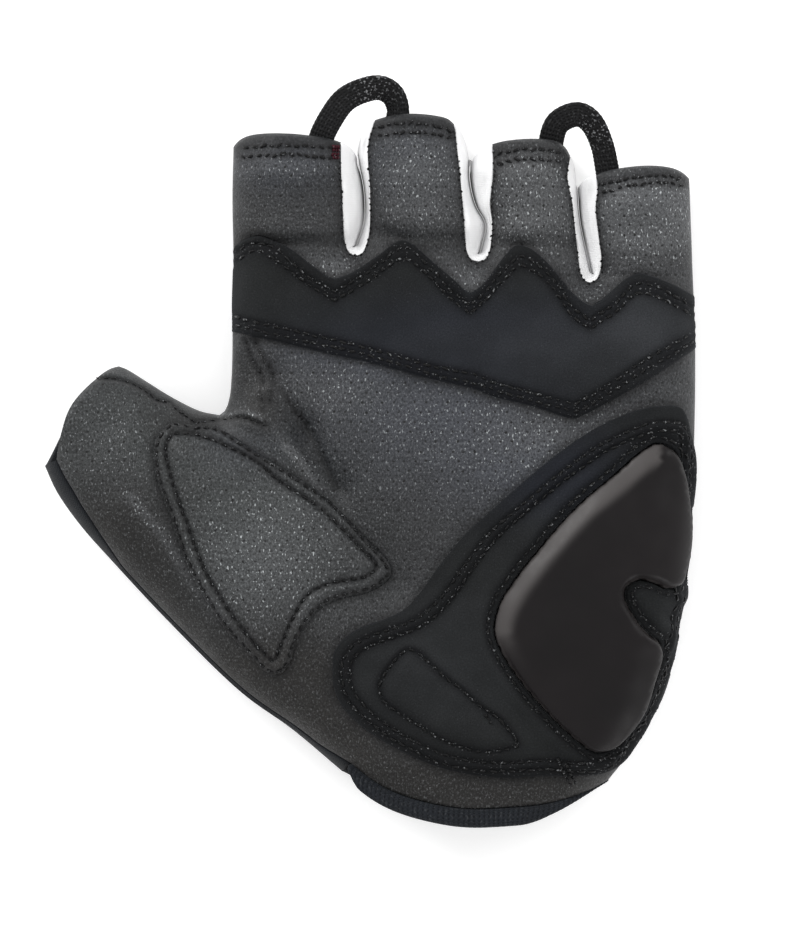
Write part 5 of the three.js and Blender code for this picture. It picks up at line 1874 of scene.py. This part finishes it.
class GLOVE_OT_patches(bpy.types.Operator):
    """Builds the knuckle band, the heel patch, the thumb patch and the gel pad"""

    bl_idname = "glove.patches"
    bl_label = "Sewn patches"

    def execute(self, context):
        band = build_patch("knuckle_suede", "knuckle_band", band_edge, band_guides, PATCH_WALL)
        finish(band, "suede", suede_material)
        settle(band, "knuckle_band")
        window = offset_ring(gel_outline, 0.12)
        heel = build_patch("heel_suede", "heel_patch", heel_outline, heel_guides, PATCH_WALL, (window,))
        finish(heel, "suede", suede_material)
        settle(heel, "heel_patch")
        thumb = build_patch("thumb_leather", "thumb_patch", thumb_outline, thumb_guides, PATCH_WALL)
        finish(thumb, "perforated leather", leather_material)
        settle(thumb, "thumb_patch")
        gel = build_patch("smooth_pad", "gel_pad", gel_outline, (), GEL_WALL)
        finish(gel, "gel", gel_material)
        settle(gel, "gel_pad")
        return {"FINISHED"}


class GLOVE_OT_pull_loops(bpy.types.Operator):
    """Builds the two webbing loops"""

    bl_idname = "glove.pull_loops"
    bl_label = "Pull loops"

    def execute(self, context):
        tint = context.scene.glove_colours.webbing
        for name in LOOPS:
            piece = build_loop(name)
            finish(piece, "webbing", lambda title: fabric_material(
                title, colour(tint), colour(tint, 1.5), 0.62, WEBBING_RIB, 0.12, gap=0.6,
                glints=1.0))
            settle(piece, name)
        return {"FINISHED"}


class GLOVE_OT_wrist_binding(bpy.types.Operator):
    """Builds the knitted wrist binding"""

    bl_idname = "glove.wrist_binding"
    bl_label = "Wrist binding"

    def execute(self, context):
        tint = context.scene.glove_colours.fabric
        piece = build_binding()
        finish(piece, "binding knit", lambda name: fabric_material(
            name, colour(tint, 1.4), colour(tint), 1.1, 0.55, 0.16, glints=1.0))
        settle(piece, "wrist_binding")
        return {"FINISHED"}


class GLOVE_OT_stitching(bpy.types.Operator):
    """Sews the rows of stitches and the bar tacks"""

    bl_idname = "glove.stitching"
    bl_label = "Stitching"

    def execute(self, context):
        size = context.scene.glove_sizes.thread
        colours = context.scene.glove_colours
        heel = on_patch("heel_patch")
        black = ("black thread", lambda name: thread_material(name, colours.thread))
        red = ("dark red thread", lambda name: thread_material(name, colours.accent))
        groups = {
            "band_stitches": (band_guides, on_patch("knuckle_band"), {}),
            "heel_stitches": (heel_guides, heel, {}),
            "thumb_stitches": (thumb_guides, on_patch("thumb_patch"), {}),
            "hem_stitches": ([drawn(row, STITCH_SPACING) for row in HEM_ROWS], palm_frame,
                             {"thread": 0.62, "pitch": 1.75, "share": 0.85, "stray": 0.22}),
            "seam_stitches": (seam_lines.values(), palm_frame,
                              {"thread": 0.36, "pitch": 1.5, "share": 0.9}),
            "slot_stitches": (slot_rows(), palm_frame,
                              {"thread": 0.42, "pitch": 1.3, "share": 0.55, "stray": 0.2}),
        }
        for name, (lines, surface, settings) in groups.items():
            rows = [(line, surface, 100 + number) for number, line in enumerate(lines)]
            stitch_object(name, rows, *black, **{"thread": size, **settings})
        rows = [(resample(pattern(ends), 12), heel, 40 + number)
                for number, ends in enumerate(BAR_TACKS)]
        stitch_object("bar_tacks", rows, *black, pitch=0.9, thread=0.7, share=1.0)
        rows = [(resample(pattern(ACCENT_TACK) + (offset, 0), 10), palm_frame, 50)
                for offset in (-0.55, 0.0, 0.55)]
        stitch_object("accent_tack", rows, *red, pitch=0.8, thread=0.6, share=1.0)
        return {"FINISHED"}


OPERATORS = (GLOVE_OT_stage, GLOVE_OT_palm_panel, GLOVE_OT_back_panel, GLOVE_OT_white_strips,
             GLOVE_OT_patches, GLOVE_OT_pull_loops, GLOVE_OT_wrist_binding, GLOVE_OT_stitching)


class GLOVE_PT_panel(bpy.types.Panel):
    """Lists the sizes, the colours and the pieces"""

    bl_idname = "GLOVE_PT_panel"
    bl_label = "Glove"
    bl_space_type = "VIEW_3D"
    bl_region_type = "UI"
    bl_category = "Glove"

    def draw(self, context):
        for group in (context.scene.glove_sizes, context.scene.glove_colours):
            for name in group.bl_rna.properties.keys():
                if name not in {"rna_type", "name"}:
                    self.layout.prop(group, name)
        for operator in OPERATORS:
            self.layout.operator(operator.bl_idname)


CLASSES = (GloveSizes, GloveColours, *OPERATORS, GLOVE_PT_panel)


def register():
    for item in CLASSES:
        bpy.utils.register_class(item)
    bpy.types.Scene.glove_sizes = PointerProperty(type=GloveSizes)
    bpy.types.Scene.glove_colours = PointerProperty(type=GloveColours)


def unregister():
    del bpy.types.Scene.glove_colours
    del bpy.types.Scene.glove_sizes
    for item in reversed(CLASSES):
        bpy.utils.unregister_class(item)


def main():
    register()
    bpy.ops.glove.stage()
    bpy.ops.glove.palm_panel()
    bpy.ops.glove.back_panel()
    bpy.ops.glove.white_strips()
    bpy.ops.glove.patches()
    bpy.ops.glove.pull_loops()
    bpy.ops.glove.wrist_binding()
    bpy.ops.glove.stitching()


if __name__ == "__main__":
    main()
